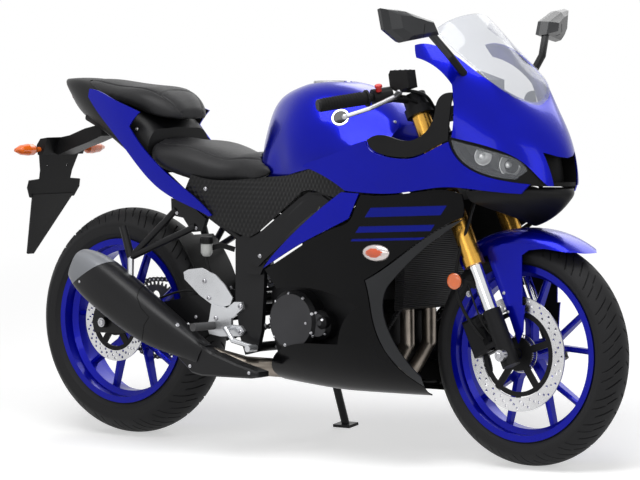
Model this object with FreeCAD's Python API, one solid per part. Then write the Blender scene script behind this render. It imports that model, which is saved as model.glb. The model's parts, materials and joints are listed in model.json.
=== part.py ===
import FreeCAD, Part
import math
import os

# Sport bike on its side stand. X points forward, Y to the rider's left, Z up.
# The bike is drawn upright, with X from the rear axle and Z from the road, and
# is leaned on its stand at the end. Lengths are in millimetres, angles in degrees.

Vec = FreeCAD.Vector
Y_AXIS = Vec(0, 1, 0)
Z_AXIS = Vec(0, 0, 1)
X_AXIS = Vec(1, 0, 0)
CENTRE = Vec(0, 0, 0)

# Driving dimensions of the whole bike
WHEELBASE = 1380.0
SEAT_HEIGHT = 780.0
FAIRING_WIDTH = 400.0
STAND_LEAN = 9.5
RAKE = 25.0
TRAIL = 95.0
STEER_LOCK = 34.0

# The body is drawn on a grid whose steps follow the wheelbase, the seat and the fairing
WHEELBASE_SHARE = 1380.0
SEAT_HEIGHT_SHARE = 780.0
FAIRING_WIDTH_SHARE = 400.0
STEP_X = WHEELBASE / WHEELBASE_SHARE
STEP_Y = FAIRING_WIDTH / FAIRING_WIDTH_SHARE
STEP_Z = SEAT_HEIGHT / SEAT_HEIGHT_SHARE

# Clearances
RUNNING_FIT = 0.05
FREE_GAP = 0.6
OVERRUN = 5.0
CUT_REACH = 1500.0

# A bend's ball is a little larger than its tube, so that their faces cross cleanly
BEND_SHARE = 1.01

# Panels
PANEL_WALL = 4.0
PANEL_GAP = 0.6
HOUSING_DEPTH = 42.0
HOUSING_WALL = 4.0
TYRE_CLEARANCE = 9.0
ROOM_STEPS = 6
SCREEN_WALL = 3.0

# Wheels
FRONT_TYRE_RADIUS = 293.0
FRONT_TYRE_WIDTH = 110.0
FRONT_CROWN_DROP = 36.0
FRONT_BEAD_HALF = 42.0
REAR_TYRE_RADIUS = 314.0
REAR_TYRE_WIDTH = 140.0
REAR_CROWN_DROP = 42.0
REAR_BEAD_HALF = 56.0
TREAD_ANGLE_SHARES = (STAND_LEAN, 24.0, 38.0, 52.0)
WALL_OUT_SHARE = 0.8
WALL_RISE_SHARE = 0.35
RIM_FLANGE_RADIUS = 229.0
RIM_SEAT_RADIUS = 218.0
RIM_WELL_RADIUS = 203.0
RIM_WALL = 6.0
RIM_FLANGE_WALL = 5.0
HUB_RADIUS = 34.0
SPOKE_PAIRS = 5
SPOKE_SPLIT_ANGLE = 15.0
SPOKE_STEM_WIDTH = 26.0
SPOKE_STEM_REACH = 92.0
SPOKE_WIDTH = 14.0
SPOKE_DEPTH_HUB = 34.0
SPOKE_DEPTH_RIM = 24.0
SPOKE_EDGE = 4.0
AXLE_RADIUS = 8.5

# Brakes
FRONT_DISC_RADIUS = 149.0
FRONT_DISC_BAND = 36.0
FRONT_DISC_PLACE = 62.0
REAR_DISC_RADIUS = 110.0
REAR_DISC_BAND = 32.0
REAR_DISC_PLACE = 82.0
DISC_THICKNESS = 4.5
DISC_HOLE_RADIUS = 3.6
DISC_HOLE_ROWS = 3
DISC_HOLE_COLUMNS = 24
CARRIER_THICKNESS = 6.0
CARRIER_BAND = 12.0
CARRIER_ARM_WIDTH = 18.0
BOBBIN_RADIUS = 7.0
BOBBIN_COUNT = 10
CARRIER_GAP = 3.0

# Chain drive
SPROCKET_TEETH = 43
CHAIN_PITCH = 15.875
CHAIN_LINE = 88.0
CHAIN_WIDTH = 16.0
CHAIN_DEPTH = 15.0
SPROCKET_THICKNESS = 6.0
SPROCKET_TOOTH = 9.0
SPROCKET_CLEARANCE = 5.5
DRIVE_SPROCKET_TEETH = 14

# Fork
FORK_SPACING = 210.0
FORK_INNER_RADIUS = 18.5
FORK_OUTER_RADIUS = 25.5
FORK_LOWER_RADIUS = 24.0
FORK_OUTER_FROM = 248.0
FORK_OUTER_TO = 706.0
FORK_CAP_HEIGHT = 12.0
FORK_CAP_RADIUS = 19.0
FORK_LOWER_TO = 124.0
FORK_LOWER_BELOW = 30.0
FORK_COLLAR_LENGTH = 26.0
FORK_COLLAR_GROWTH = 2.5
LOWER_CLAMP_FROM = 455.0
LOWER_CLAMP_THICKNESS = 30.0
UPPER_CLAMP_FROM = 672.0
UPPER_CLAMP_THICKNESS = 22.0
CLAMP_WALL = 12.0
STEM_RADIUS = 15.0
HEAD_TUBE_RADIUS = 30.0

# Frame and swingarm
FRAME_TUBE_RADIUS = 17.0
SUBFRAME_TUBE_RADIUS = 12.0
SUBFRAME_BAR_RADIUS = 9.5
PIVOT_PLATE_INNER = 133.0
PIVOT_PLATE_THICKNESS = 14.0
SWINGARM_INNER = 104.0
SWINGARM_THICKNESS = 24.0
PIVOT_RADIUS = 10.0
PIVOT_TUBE_RADIUS = 17.0

# Side stand
STAND_LEG_RADIUS = 11.0
STAND_FOOT_THICKNESS = 8.0

# Panels are cut by outlines drawn in side view. Each point is a pair of grid steps.
# An outline is a chain of stretches: two points are a straight line, more are a curve.


def kept(make):
    """The same maker, remembering its shape so that it is made once."""
    shapes = []

    def give():
        if not shapes:
            shapes.append(make())
        return shapes[0]

    return give


def at(steps):
    """A point of the body, from its three grid steps."""
    return Vec(steps[0] * STEP_X, steps[1] * STEP_Y, steps[2] * STEP_Z)


def mirrored(shape):
    """The same shape on the other side of the bike."""
    return shape.mirror(CENTRE, Y_AXIS)


def both_sides(shape):
    """A right-hand piece and its left-hand twin."""
    return Part.makeCompound([shape, mirrored(shape)])


def unite(shapes):
    """One shape from shapes that meet."""
    joined = shapes[0]
    if len(shapes) > 1:
        joined = joined.fuse(shapes[1:])
    return joined.removeSplitter()


def largest(shape):
    """The largest solid of a shape that was cut."""
    return max(shape.Solids, key=lambda solid: solid.Volume)


def upright(solid):
    """A solid whose faces point outward."""
    if solid.Volume < 0:
        solid.reverse()
    return solid


def bar(start, end, radius):
    """A round bar between two points."""
    along = end.sub(start)
    return Part.makeCylinder(radius, along.Length, start, along)


def tube_run(points, radius, pole=Z_AXIS):
    """A round tube along straight runs, with ball joints at its bends, and where their poles lie."""
    pieces = []
    for start, end in zip(points, points[1:]):
        pieces.append(bar(start, end, radius))
    for bend in points[1:-1]:
        pieces.append(Part.makeSphere(radius * BEND_SHARE, bend, pole))
    return unite(pieces)


def flat_outline(points):
    """A closed face with straight sides through the points."""
    return Part.Face(Part.makePolygon(list(points) + [points[0]]))


def stretch_edge(points):
    """A straight edge for two points, and a smooth one for more."""
    if len(points) == 2:
        return Part.LineSegment(points[0], points[1]).toShape()
    curve = Part.BSplineCurve()
    curve.interpolate(points)
    return curve.toShape()


def side_prism(stretches, inner, outer):
    """A prism across the bike, from an outline drawn in side view."""
    edges = []
    for stretch in stretches:
        edges.append(stretch_edge([Vec(x * STEP_X, inner, z * STEP_Z) for x, z in stretch]))
    face = Part.Face(Part.Wire(edges))
    return face.extrude(Vec(0, outer - inner, 0))


def closed(points):
    """The straight stretches of a closed outline through the points."""
    ring = list(points) + [points[0]]
    return [[start, end] for start, end in zip(ring, ring[1:])]


def right_prism(stretches):
    """A prism over the right-hand half of the bike."""
    return side_prism(stretches, 0, -CUT_REACH)


def chord_places(lines):
    """Places from 0 to 1 along a net's lines, shared by all of them and set by their chords."""
    count = len(lines[0])
    gaps = [0.0] * (count - 1)
    for line in lines:
        chords = [line[i + 1].sub(line[i]).Length for i in range(count - 1)]
        for i, chord in enumerate(chords):
            gaps[i] += chord / sum(chords)
    places = [0.0]
    for gap in gaps:
        places.append(places[-1] + gap / len(lines))
    places[-1] = 1.0
    return places


def smooth_line(points, places):
    """A smooth curve that passes the points at the given places."""
    curve = Part.BSplineCurve()
    curve.interpolate(Points=points, Parameters=places)
    return curve


def smooth_surface(grid):
    """A smooth surface through a net of points."""
    across = chord_places(grid)
    along = chord_places([list(column) for column in zip(*grid)])
    rows = [smooth_line(row, across) for row in grid]
    row_poles = [row.getPoles() for row in rows]
    columns = [smooth_line(list(poles), along) for poles in zip(*row_poles)]
    poles = [list(line) for line in zip(*[column.getPoles() for column in columns])]
    surface = Part.BSplineSurface()
    surface.buildFromPolesMultsKnots(
        poles, columns[0].getMultiplicities(), rows[0].getMultiplicities(),
        columns[0].getKnots(), rows[0].getKnots(), False, False,
        columns[0].Degree, rows[0].Degree)
    return surface, along, across


def skin(grid, wall, inside):
    """A panel of even wall behind a smooth surface through a net of points."""
    outer, along, across = smooth_surface(grid)
    behind = []
    for row, u in zip(grid, along):
        line = []
        for point, v in zip(row, across):
            normal = outer.normal(u, v)
            if normal.dot(point.sub(inside)) < 0:
                normal = normal.negative()
            line.append(point.sub(normal * wall))
        behind.append(line)
    inner = smooth_surface(behind)[0]
    faces = [outer.toShape(), inner.toShape()]
    for low in (0.0, 1.0):
        faces.append(Part.makeRuledSurface(outer.uIso(low).toShape(), inner.uIso(low).toShape()))
        faces.append(Part.makeRuledSurface(outer.vIso(low).toShape(), inner.vIso(low).toShape()))
    shell = Part.makeShell(faces)
    shell.sewShape()
    return upright(Part.makeSolid(shell))


def body_grid(table, half=False):
    """The net of points of a panel, from one side's table of grid steps."""
    grid = []
    for row in table:
        right = [at((x, -y, z)) for x, y, z in row]
        left = [at((x, y, z)) for x, y, z in reversed(row)]
        if half:
            grid.append(right)
        else:
            grid.append(right + left[1:])
    return grid


def ring_section(profile, station):
    """A closed section across the bike, from half a profile of grid steps."""
    right = [at((station, -y, z)) for y, z in profile]
    left = [at((station, y, z)) for y, z in profile[1:]]
    top = list(reversed(right)) + left
    curve = Part.BSplineCurve()
    curve.interpolate(top)
    base = Part.LineSegment(top[-1], top[0])
    return Part.Wire([curve.toShape(), base.toShape()])


def body_loft(sections):
    """A solid body through sections across the bike."""
    wires = [ring_section(profile, station) for station, profile in sections]
    return upright(Part.makeLoft(wires, True, False))


def wheel_ring(profile, centre):
    """A ring about an axle, from pairs of place across the bike and radius."""
    points = [Vec(0, y, r) for y, r in profile]
    return flat_outline(points).revolve(CENTRE, Y_AXIS, 360).translated(centre)


def wheel_disc(radius, inner, low, high, centre):
    """A flat ring about an axle, between two places across the bike."""
    plate = Part.makeCylinder(radius, high - low, centre + Vec(0, low, 0), Y_AXIS)
    if inner > 0:
        reach = high - low + 2 * OVERRUN
        plate = plate.cut(Part.makeCylinder(inner, reach, centre + Vec(0, low - OVERRUN, 0), Y_AXIS))
    return plate


def about_axle(shape, centre, angle):
    """The shape turned about an axle."""
    turned = shape.copy()
    turned.rotate(centre, Y_AXIS, angle)
    return turned


# Axles and the steering axis


def crown_radius(width, drop):
    """The radius of a tyre's tread across its width."""
    half = width / 2
    return (half * half + drop * drop) / (2 * drop)


CROWN_RISE = (crown_radius(FRONT_TYRE_WIDTH, FRONT_CROWN_DROP)
              - crown_radius(REAR_TYRE_WIDTH, REAR_CROWN_DROP)) * (1 - math.cos(math.radians(STAND_LEAN)))
FLOOR_DROP = crown_radius(REAR_TYRE_WIDTH, REAR_CROWN_DROP) * (1 - math.cos(math.radians(STAND_LEAN)))
REAR_AXLE = Vec(0, 0, REAR_TYRE_RADIUS)
FRONT_AXLE = Vec(WHEELBASE, 0, FRONT_TYRE_RADIUS + CROWN_RISE)
RAKE_SIN = math.sin(math.radians(RAKE))
RAKE_COS = math.cos(math.radians(RAKE))
FORK_UP = Vec(-RAKE_SIN, 0, RAKE_COS)
FORK_FORWARD = Vec(RAKE_COS, 0, RAKE_SIN)
AXLE_OFFSET = FRONT_TYRE_RADIUS * RAKE_SIN - TRAIL * RAKE_COS
FORK_HALF = FORK_SPACING / 2


def on_fork(height, forward=0.0, side=0.0):
    """A point by its height up the fork, its place ahead of the legs and its side."""
    return FRONT_AXLE + FORK_UP * height + FORK_FORWARD * forward + Y_AXIS * side


def on_stem(height, forward=0.0, side=0.0):
    """A point by its height up the steering stem and its place ahead of it."""
    return on_fork(height, forward - AXLE_OFFSET, side)


# Tyres and rims


def tyre(radius, width, crown_drop, bead_half, centre):
    """A tyre as a ring of plain cones, whose edge at the parking lean meets the road."""
    half = width / 2
    crown = crown_radius(width, crown_drop)
    shoulder = radius - crown_drop
    turns = [math.radians(angle) for angle in TREAD_ANGLE_SHARES]
    side = [(crown * math.sin(turn), radius - crown + crown * math.cos(turn)) for turn in turns]
    wall_y = bead_half + (half - bead_half) * WALL_OUT_SHARE
    wall_r = RIM_FLANGE_RADIUS + (shoulder - RIM_FLANGE_RADIUS) * WALL_RISE_SHARE
    side += [(half, shoulder), (wall_y, wall_r)]
    side += [(bead_half, RIM_FLANGE_RADIUS), (bead_half, RIM_SEAT_RADIUS)]
    outline = [Vec(0, -y, r) for y, r in reversed(side)] + [Vec(0, 0, radius)]
    outline += [Vec(0, y, r) for y, r in side]
    edge = Part.makePolygon(outline + outline[:1])
    return Part.Face(edge).revolve(CENTRE, Y_AXIS, 360).translated(centre)


def tyre_space(radius, width, crown_drop, bead_half, centre):
    """The smooth form of a tyre, for the room that it needs."""
    half = width / 2
    shoulder = radius - crown_drop
    wall_y = bead_half + (half - bead_half) * WALL_OUT_SHARE
    wall_r = RIM_FLANGE_RADIUS + (shoulder - RIM_FLANGE_RADIUS) * WALL_RISE_SHARE
    edges = [
        Part.Arc(Vec(0, -bead_half, RIM_FLANGE_RADIUS), Vec(0, -wall_y, wall_r),
                 Vec(0, -half, shoulder)).toShape(),
        Part.Arc(Vec(0, -half, shoulder), Vec(0, 0, radius), Vec(0, half, shoulder)).toShape(),
        Part.Arc(Vec(0, half, shoulder), Vec(0, wall_y, wall_r),
                 Vec(0, bead_half, RIM_FLANGE_RADIUS)).toShape(),
        Part.LineSegment(Vec(0, bead_half, RIM_FLANGE_RADIUS),
                         Vec(0, bead_half, RIM_SEAT_RADIUS)).toShape(),
        Part.LineSegment(Vec(0, bead_half, RIM_SEAT_RADIUS),
                         Vec(0, -bead_half, RIM_SEAT_RADIUS)).toShape(),
        Part.LineSegment(Vec(0, -bead_half, RIM_SEAT_RADIUS),
                         Vec(0, -bead_half, RIM_FLANGE_RADIUS)).toShape(),
    ]
    return Part.Face(Part.Wire(edges)).revolve(CENTRE, Y_AXIS, 360).translated(centre)


def rim_barrel(bead_half, centre):
    seat_share = 0.55
    well_share = 0.38
    edge = bead_half + RIM_FLANGE_WALL
    seat = bead_half * seat_share
    well = bead_half * well_share
    right = [(-edge, RIM_FLANGE_RADIUS), (-bead_half, RIM_FLANGE_RADIUS), (-bead_half, RIM_SEAT_RADIUS),
             (-seat, RIM_SEAT_RADIUS), (-well, RIM_WELL_RADIUS)]
    left = [(-y, r) for y, r in reversed(right)]
    under = [(edge, RIM_SEAT_RADIUS - RIM_WALL), (seat, RIM_SEAT_RADIUS - RIM_WALL),
             (well, RIM_WELL_RADIUS - RIM_WALL)]
    under_right = [(-y, r) for y, r in reversed(under)]
    return wheel_ring(right + left + under + under_right, centre)


def spoke_bar(start_radius, start_angle, end_radius, end_angle, widths, depths, centre):
    """A cast spoke with bevelled edges between two radii and angles."""
    wires = []
    start = Vec(start_radius * math.sin(math.radians(start_angle)), 0,
                start_radius * math.cos(math.radians(start_angle)))
    end = Vec(end_radius * math.sin(math.radians(end_angle)), 0,
              end_radius * math.cos(math.radians(end_angle)))
    along = end.sub(start)
    along.normalize()
    side = along.cross(Y_AXIS)
    for place, width, depth in ((start, widths[0], depths[0]), (end, widths[1], depths[1])):
        half_w = width / 2
        half_d = depth / 2
        corners = [(half_w - SPOKE_EDGE, half_d), (half_w, half_d - SPOKE_EDGE),
                   (half_w, SPOKE_EDGE - half_d), (half_w - SPOKE_EDGE, -half_d),
                   (SPOKE_EDGE - half_w, -half_d), (-half_w, SPOKE_EDGE - half_d),
                   (-half_w, half_d - SPOKE_EDGE), (SPOKE_EDGE - half_w, half_d)]
        points = [centre + place + side * a + Y_AXIS * b for a, b in corners]
        wires.append(Part.makePolygon(points + [points[0]]))
    return upright(Part.makeLoft(wires, True, True))


def cast_rim(bead_half, hub_low, hub_high, centre):
    """A cast rim with pairs of spokes that part from a short stem."""
    root_share = 0.6
    split_share = 0.86
    rim_reach = RIM_WELL_RADIUS - RIM_WALL / 2
    pieces = [rim_barrel(bead_half, centre), wheel_disc(HUB_RADIUS, 0, hub_low, hub_high, centre)]
    for index in range(SPOKE_PAIRS):
        turn = 360.0 / SPOKE_PAIRS * index
        pieces.append(spoke_bar(HUB_RADIUS * root_share, turn, SPOKE_STEM_REACH, turn,
                                (SPOKE_STEM_WIDTH, SPOKE_STEM_WIDTH),
                                (SPOKE_DEPTH_HUB, SPOKE_DEPTH_HUB), centre))
        for lean in (-SPOKE_SPLIT_ANGLE, SPOKE_SPLIT_ANGLE):
            root_angle = turn + lean * root_share / 2
            pieces.append(spoke_bar(SPOKE_STEM_REACH * split_share, root_angle, rim_reach, turn + lean,
                                    (SPOKE_WIDTH, SPOKE_WIDTH),
                                    (SPOKE_DEPTH_HUB, SPOKE_DEPTH_RIM), centre))
    rim = pieces[0].fuse(pieces[1:])
    bore = wheel_disc(AXLE_RADIUS + RUNNING_FIT, 0, hub_low - OVERRUN, hub_high + OVERRUN, centre)
    return rim.cut(bore)


def drilled_ring(radius, band, place, centre):
    """A brake disc's drilled band."""
    low = place - DISC_THICKNESS / 2
    ring = wheel_disc(radius, radius - band, low, low + DISC_THICKNESS, centre)
    holes = []
    for column in range(DISC_HOLE_COLUMNS):
        for row in range(DISC_HOLE_ROWS):
            reach = radius - band * (row + 1) / (DISC_HOLE_ROWS + 1)
            sweep = 360.0 / DISC_HOLE_COLUMNS
            angle = math.radians(sweep * (column + row / DISC_HOLE_ROWS))
            spot = centre + Vec(reach * math.sin(angle), low - OVERRUN, reach * math.cos(angle))
            holes.append(Part.makeCylinder(DISC_HOLE_RADIUS, DISC_THICKNESS + 2 * OVERRUN, spot, Y_AXIS))
    return ring.cut(holes)


def carrier(outer, inner, low, high, centre):
    """The ring and arms that carry a brake disc on the hub."""
    pieces = [wheel_disc(outer, outer - CARRIER_BAND, low, high, centre),
              wheel_disc(inner, AXLE_RADIUS + OVERRUN, low, high, centre)]
    for index in range(SPOKE_PAIRS):
        angle = 360.0 / SPOKE_PAIRS * index
        arm = Part.makeBox(CARRIER_ARM_WIDTH, high - low, outer - CARRIER_BAND / 2 - inner / 2,
                           centre + Vec(-CARRIER_ARM_WIDTH / 2, low, inner / 2))
        pieces.append(about_axle(arm, centre, angle))
    return unite(pieces)


@kept
def build_front_tyre():
    return tyre(FRONT_TYRE_RADIUS, FRONT_TYRE_WIDTH, FRONT_CROWN_DROP, FRONT_BEAD_HALF, FRONT_AXLE)


@kept
def build_rear_tyre():
    return tyre(REAR_TYRE_RADIUS, REAR_TYRE_WIDTH, REAR_CROWN_DROP, REAR_BEAD_HALF, REAR_AXLE)


FRONT_HUB_RIGHT = FRONT_DISC_PLACE - DISC_THICKNESS / 2 - CARRIER_THICKNESS / 2
FRONT_HUB_LEFT = FRONT_HUB_RIGHT
REAR_HUB_RIGHT = REAR_DISC_PLACE - CARRIER_THICKNESS / 2
REAR_HUB_LEFT = CHAIN_LINE - SPROCKET_THICKNESS / 2


@kept
def build_front_rim():
    return cast_rim(FRONT_BEAD_HALF, -FRONT_HUB_RIGHT, FRONT_HUB_LEFT, FRONT_AXLE)


@kept
def build_rear_rim():
    return cast_rim(REAR_BEAD_HALF, -REAR_HUB_RIGHT, REAR_HUB_LEFT, REAR_AXLE)


@kept
def build_front_disc():
    high = -FRONT_HUB_RIGHT
    low = high - CARRIER_THICKNESS
    band_edge = FRONT_DISC_RADIUS - FRONT_DISC_BAND
    pieces = [drilled_ring(FRONT_DISC_RADIUS, FRONT_DISC_BAND, -FRONT_DISC_PLACE, FRONT_AXLE),
              carrier(band_edge - CARRIER_GAP, HUB_RADIUS + OVERRUN * 2, low, high, FRONT_AXLE)]
    for index in range(BOBBIN_COUNT):
        angle = math.radians(360.0 / BOBBIN_COUNT * index)
        reach = band_edge - CARRIER_GAP / 2
        spot = FRONT_AXLE + Vec(reach * math.sin(angle), low - RUNNING_FIT, reach * math.cos(angle))
        pieces.append(Part.makeCylinder(BOBBIN_RADIUS, CARRIER_THICKNESS + RUNNING_FIT * 2, spot, Y_AXIS))
    return unite(pieces)


@kept
def build_rear_disc():
    high = -REAR_HUB_RIGHT
    low = high - CARRIER_THICKNESS
    band_edge = REAR_DISC_RADIUS - REAR_DISC_BAND
    ring = drilled_ring(REAR_DISC_RADIUS, REAR_DISC_BAND, (low + high) / 2, REAR_AXLE)
    return unite([ring, carrier(band_edge + CARRIER_GAP, HUB_RADIUS + OVERRUN, low, high, REAR_AXLE)])


SPROCKET_RADIUS = CHAIN_PITCH / (2 * math.sin(math.pi / SPROCKET_TEETH))
DRIVE_SPROCKET_RADIUS = CHAIN_PITCH / (2 * math.sin(math.pi / DRIVE_SPROCKET_TEETH))


@kept
def build_rear_sprocket():
    """The toothed ring on the left of the hub, a little short of the chain's rollers."""
    low = REAR_HUB_LEFT
    high = low + SPROCKET_THICKNESS
    tip = SPROCKET_RADIUS - SPROCKET_CLEARANCE
    root = tip - SPROCKET_TOOTH
    points = []
    step = 2 * math.pi / SPROCKET_TEETH
    tooth_shares = ((0.0, root), (0.32, root), (0.45, tip), (0.55, tip), (0.68, root))
    for index in range(SPROCKET_TEETH):
        for share, reach in tooth_shares:
            angle = step * (index + share)
            points.append(REAR_AXLE + Vec(reach * math.sin(angle), low, reach * math.cos(angle)))
    plate = flat_outline(points).extrude(Vec(0, high - low, 0))
    windows = []
    window_share = 0.66
    window_size_share = 0.16
    for index in range(SPOKE_PAIRS):
        angle = step * SPROCKET_TEETH * index / SPOKE_PAIRS
        reach = root * window_share
        spot = REAR_AXLE + Vec(reach * math.sin(angle), low - OVERRUN, reach * math.cos(angle))
        windows.append(Part.makeCylinder(root * window_size_share, SPROCKET_THICKNESS + 2 * OVERRUN,
                                         spot, Y_AXIS))
    windows.append(wheel_disc(AXLE_RADIUS + OVERRUN, 0, low - OVERRUN, high + OVERRUN, REAR_AXLE))
    return plate.cut(windows)


# Chain

PIVOT_SHARES = (535, 0, 402)
PIVOT = at(PIVOT_SHARES)
DRIVE_SHARES = (634, 0, 404)
DRIVE_SHAFT = at(DRIVE_SHARES)


def belt_outline(first, first_radius, second, second_radius):
    """The wire of a belt about two wheels."""
    along = second.sub(first)
    reach = along.Length
    heading = math.atan2(along.z, along.x)
    spread = math.acos((first_radius - second_radius) / reach)

    def rim_point(centre, radius, angle):
        return Vec(centre.x + radius * math.cos(angle), 0, centre.z + radius * math.sin(angle))

    top_first = rim_point(first, first_radius, heading + spread)
    low_first = rim_point(first, first_radius, heading - spread)
    back_first = rim_point(first, first_radius, heading + math.pi)
    top_second = rim_point(second, second_radius, heading + spread)
    low_second = rim_point(second, second_radius, heading - spread)
    front_second = rim_point(second, second_radius, heading)
    edges = [
        Part.Arc(top_first, back_first, low_first).toShape(),
        Part.LineSegment(low_first, low_second).toShape(),
        Part.Arc(low_second, front_second, top_second).toShape(),
        Part.LineSegment(top_second, top_first).toShape(),
    ]
    return Part.Wire(edges)


@kept
def build_chain():
    """One closed loop, with a row of rollers' gaps down its middle."""
    half = CHAIN_DEPTH / 2
    outer = Part.Face(belt_outline(REAR_AXLE, SPROCKET_RADIUS + half, DRIVE_SHAFT,
                                   DRIVE_SPROCKET_RADIUS + half))
    inner = Part.Face(belt_outline(REAR_AXLE, SPROCKET_RADIUS - half + SPROCKET_THICKNESS / 2,
                                   DRIVE_SHAFT, DRIVE_SPROCKET_RADIUS - half + SPROCKET_THICKNESS / 2))
    loop = outer.cut(inner).extrude(Vec(0, CHAIN_WIDTH, 0))
    return loop.translated(Vec(0, CHAIN_LINE - CHAIN_WIDTH / 2, 0))


# Fork, axles and steering


def plate_on_stem(points, low, high):
    """A plate square to the steering axis, between two heights on it."""
    corners = [on_stem(low, forward, side) for forward, side in points]
    return flat_outline(corners).extrude(FORK_UP * (high - low))


def clamp_plate(low, thickness):
    """A clamp that holds both legs and the stem."""
    high = low + thickness
    ring = FORK_OUTER_RADIUS + CLAMP_WALL
    back = STEM_RADIUS + CLAMP_WALL
    bridge = [(-back, -back), (AXLE_OFFSET - ring, -FORK_HALF), (AXLE_OFFSET + back, -FORK_HALF),
              (AXLE_OFFSET, 0), (AXLE_OFFSET + back, FORK_HALF), (AXLE_OFFSET - ring, FORK_HALF),
              (-back, back)]
    pieces = [plate_on_stem(bridge, low, high),
              bar(on_stem(low), on_stem(high), back)]
    for side in (-FORK_HALF, FORK_HALF):
        pieces.append(bar(on_fork(low, 0, side), on_fork(high, 0, side), ring))
    plate = unite(pieces)
    bores = []
    for side in (-FORK_HALF, FORK_HALF):
        bores.append(bar(on_fork(low - OVERRUN, 0, side), on_fork(high + OVERRUN, 0, side),
                         FORK_OUTER_RADIUS))
    return plate.cut(bores)


@kept
def build_fork_clamps():
    """The two clamps, joined by the steering stem."""
    top = UPPER_CLAMP_FROM + UPPER_CLAMP_THICKNESS
    nut_radius = STEM_RADIUS + CLAMP_WALL / 2
    pieces = [clamp_plate(LOWER_CLAMP_FROM, LOWER_CLAMP_THICKNESS),
              clamp_plate(UPPER_CLAMP_FROM, UPPER_CLAMP_THICKNESS),
              bar(on_stem(LOWER_CLAMP_FROM), on_stem(top), STEM_RADIUS),
              bar(on_stem(top - RUNNING_FIT), on_stem(top + CLAMP_WALL), nut_radius)]
    return unite(pieces)


@kept
def build_fork_outers():
    """The upper tubes, with a collar at the foot and a cap on top."""
    legs = []
    for side in (-FORK_HALF, FORK_HALF):
        top = on_fork(FORK_OUTER_TO, 0, side)
        pieces = [bar(on_fork(FORK_OUTER_FROM, 0, side), top, FORK_OUTER_RADIUS),
                  bar(on_fork(FORK_OUTER_FROM, 0, side),
                      on_fork(FORK_OUTER_FROM + FORK_COLLAR_LENGTH, 0, side),
                      FORK_OUTER_RADIUS + FORK_COLLAR_GROWTH),
                  bar(top, on_fork(FORK_OUTER_TO + FORK_CAP_HEIGHT, 0, side), FORK_CAP_RADIUS)]
        legs.append(unite(pieces))
    return Part.makeCompound(legs)


@kept
def build_fork_inners():
    """The polished tubes between the castings and the upper tubes."""
    legs = []
    for side in (-FORK_HALF, FORK_HALF):
        legs.append(bar(on_fork(FORK_LOWER_TO, 0, side), on_fork(FORK_OUTER_FROM, 0, side),
                        FORK_INNER_RADIUS))
    return Part.makeCompound(legs)


CALIPER_FROM = 36.0
CALIPER_LENGTH = 100.0
CALIPER_BEHIND = 118.0
CALIPER_DEPTH = 58.0
CALIPER_WIDTH = 56.0
CALIPER_OUTER = 30.0
CALIPER_SLOT = 5.5
CALIPER_EDGE = 8.0
CALIPER_LUG_SHARES = (0.12, 0.72)


@kept
def front_caliper():
    """The brake caliper behind the right leg, slotted for the disc."""
    face = -FRONT_DISC_PLACE - CALIPER_OUTER
    start = on_fork(CALIPER_FROM, -CALIPER_BEHIND, face)
    corners = [start, start + FORK_FORWARD * CALIPER_DEPTH,
               start + FORK_FORWARD * CALIPER_DEPTH + FORK_UP * CALIPER_LENGTH,
               start + FORK_UP * CALIPER_LENGTH]
    body = flat_outline(corners).extrude(Y_AXIS * CALIPER_WIDTH)
    body = body.makeChamfer(CALIPER_EDGE, [edge for edge in body.Edges
                                           if abs(edge.BoundBox.YMin - face) < RUNNING_FIT
                                           and edge.BoundBox.YLength < RUNNING_FIT])
    slot = wheel_disc(FRONT_DISC_RADIUS + CALIPER_SLOT, 0, -FRONT_DISC_PLACE - CALIPER_SLOT,
                      -FRONT_DISC_PLACE + CALIPER_SLOT, FRONT_AXLE)
    lug = []
    for share in CALIPER_LUG_SHARES:
        place = CALIPER_FROM + CALIPER_LENGTH * share
        lug.append(bar(on_fork(place, -CALIPER_BEHIND + CALIPER_DEPTH / 2, face + CALIPER_EDGE),
                       on_fork(place, 0, face + CALIPER_EDGE), CALIPER_EDGE))
    return unite([body.cut(slot)] + lug)


def fork_lower(side):
    """One leg's casting, with its foot about the axle."""
    return bar(on_fork(-FORK_LOWER_BELOW, 0, side), on_fork(FORK_LOWER_TO, 0, side), FORK_LOWER_RADIUS)


AXLE_HEAD_RADIUS = 15.0
AXLE_HEAD_LENGTH = 12.0


@kept
def front_axle():
    """The axle, with collars that space the wheel from the legs."""
    foot = FORK_HALF + FORK_LOWER_RADIUS
    pieces = [wheel_disc(AXLE_RADIUS, 0, -foot - AXLE_HEAD_LENGTH, foot + AXLE_HEAD_LENGTH, FRONT_AXLE)]
    right_face = FRONT_HUB_RIGHT + CARRIER_THICKNESS + FREE_GAP
    reach = AXLE_RADIUS + OVERRUN - FREE_GAP
    pieces.append(wheel_disc(reach, 0, -FORK_HALF, -right_face, FRONT_AXLE))
    pieces.append(wheel_disc(reach, 0, FRONT_HUB_LEFT + FREE_GAP, FORK_HALF, FRONT_AXLE))
    for side in (-1, 1):
        low, high = sorted((side * FORK_HALF, side * (foot + AXLE_HEAD_LENGTH)))
        pieces.append(wheel_disc(AXLE_HEAD_RADIUS, 0, low, high, FRONT_AXLE))
    return unite(pieces)


@kept
def build_fork_lowers():
    """The castings at the foot of the legs, joined by the axle, the right one with the caliper."""
    return unite([fork_lower(-FORK_HALF), fork_lower(FORK_HALF), front_axle(), front_caliper()])


# Front fender: a shell about the tyre with a flap beside each leg

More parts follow.
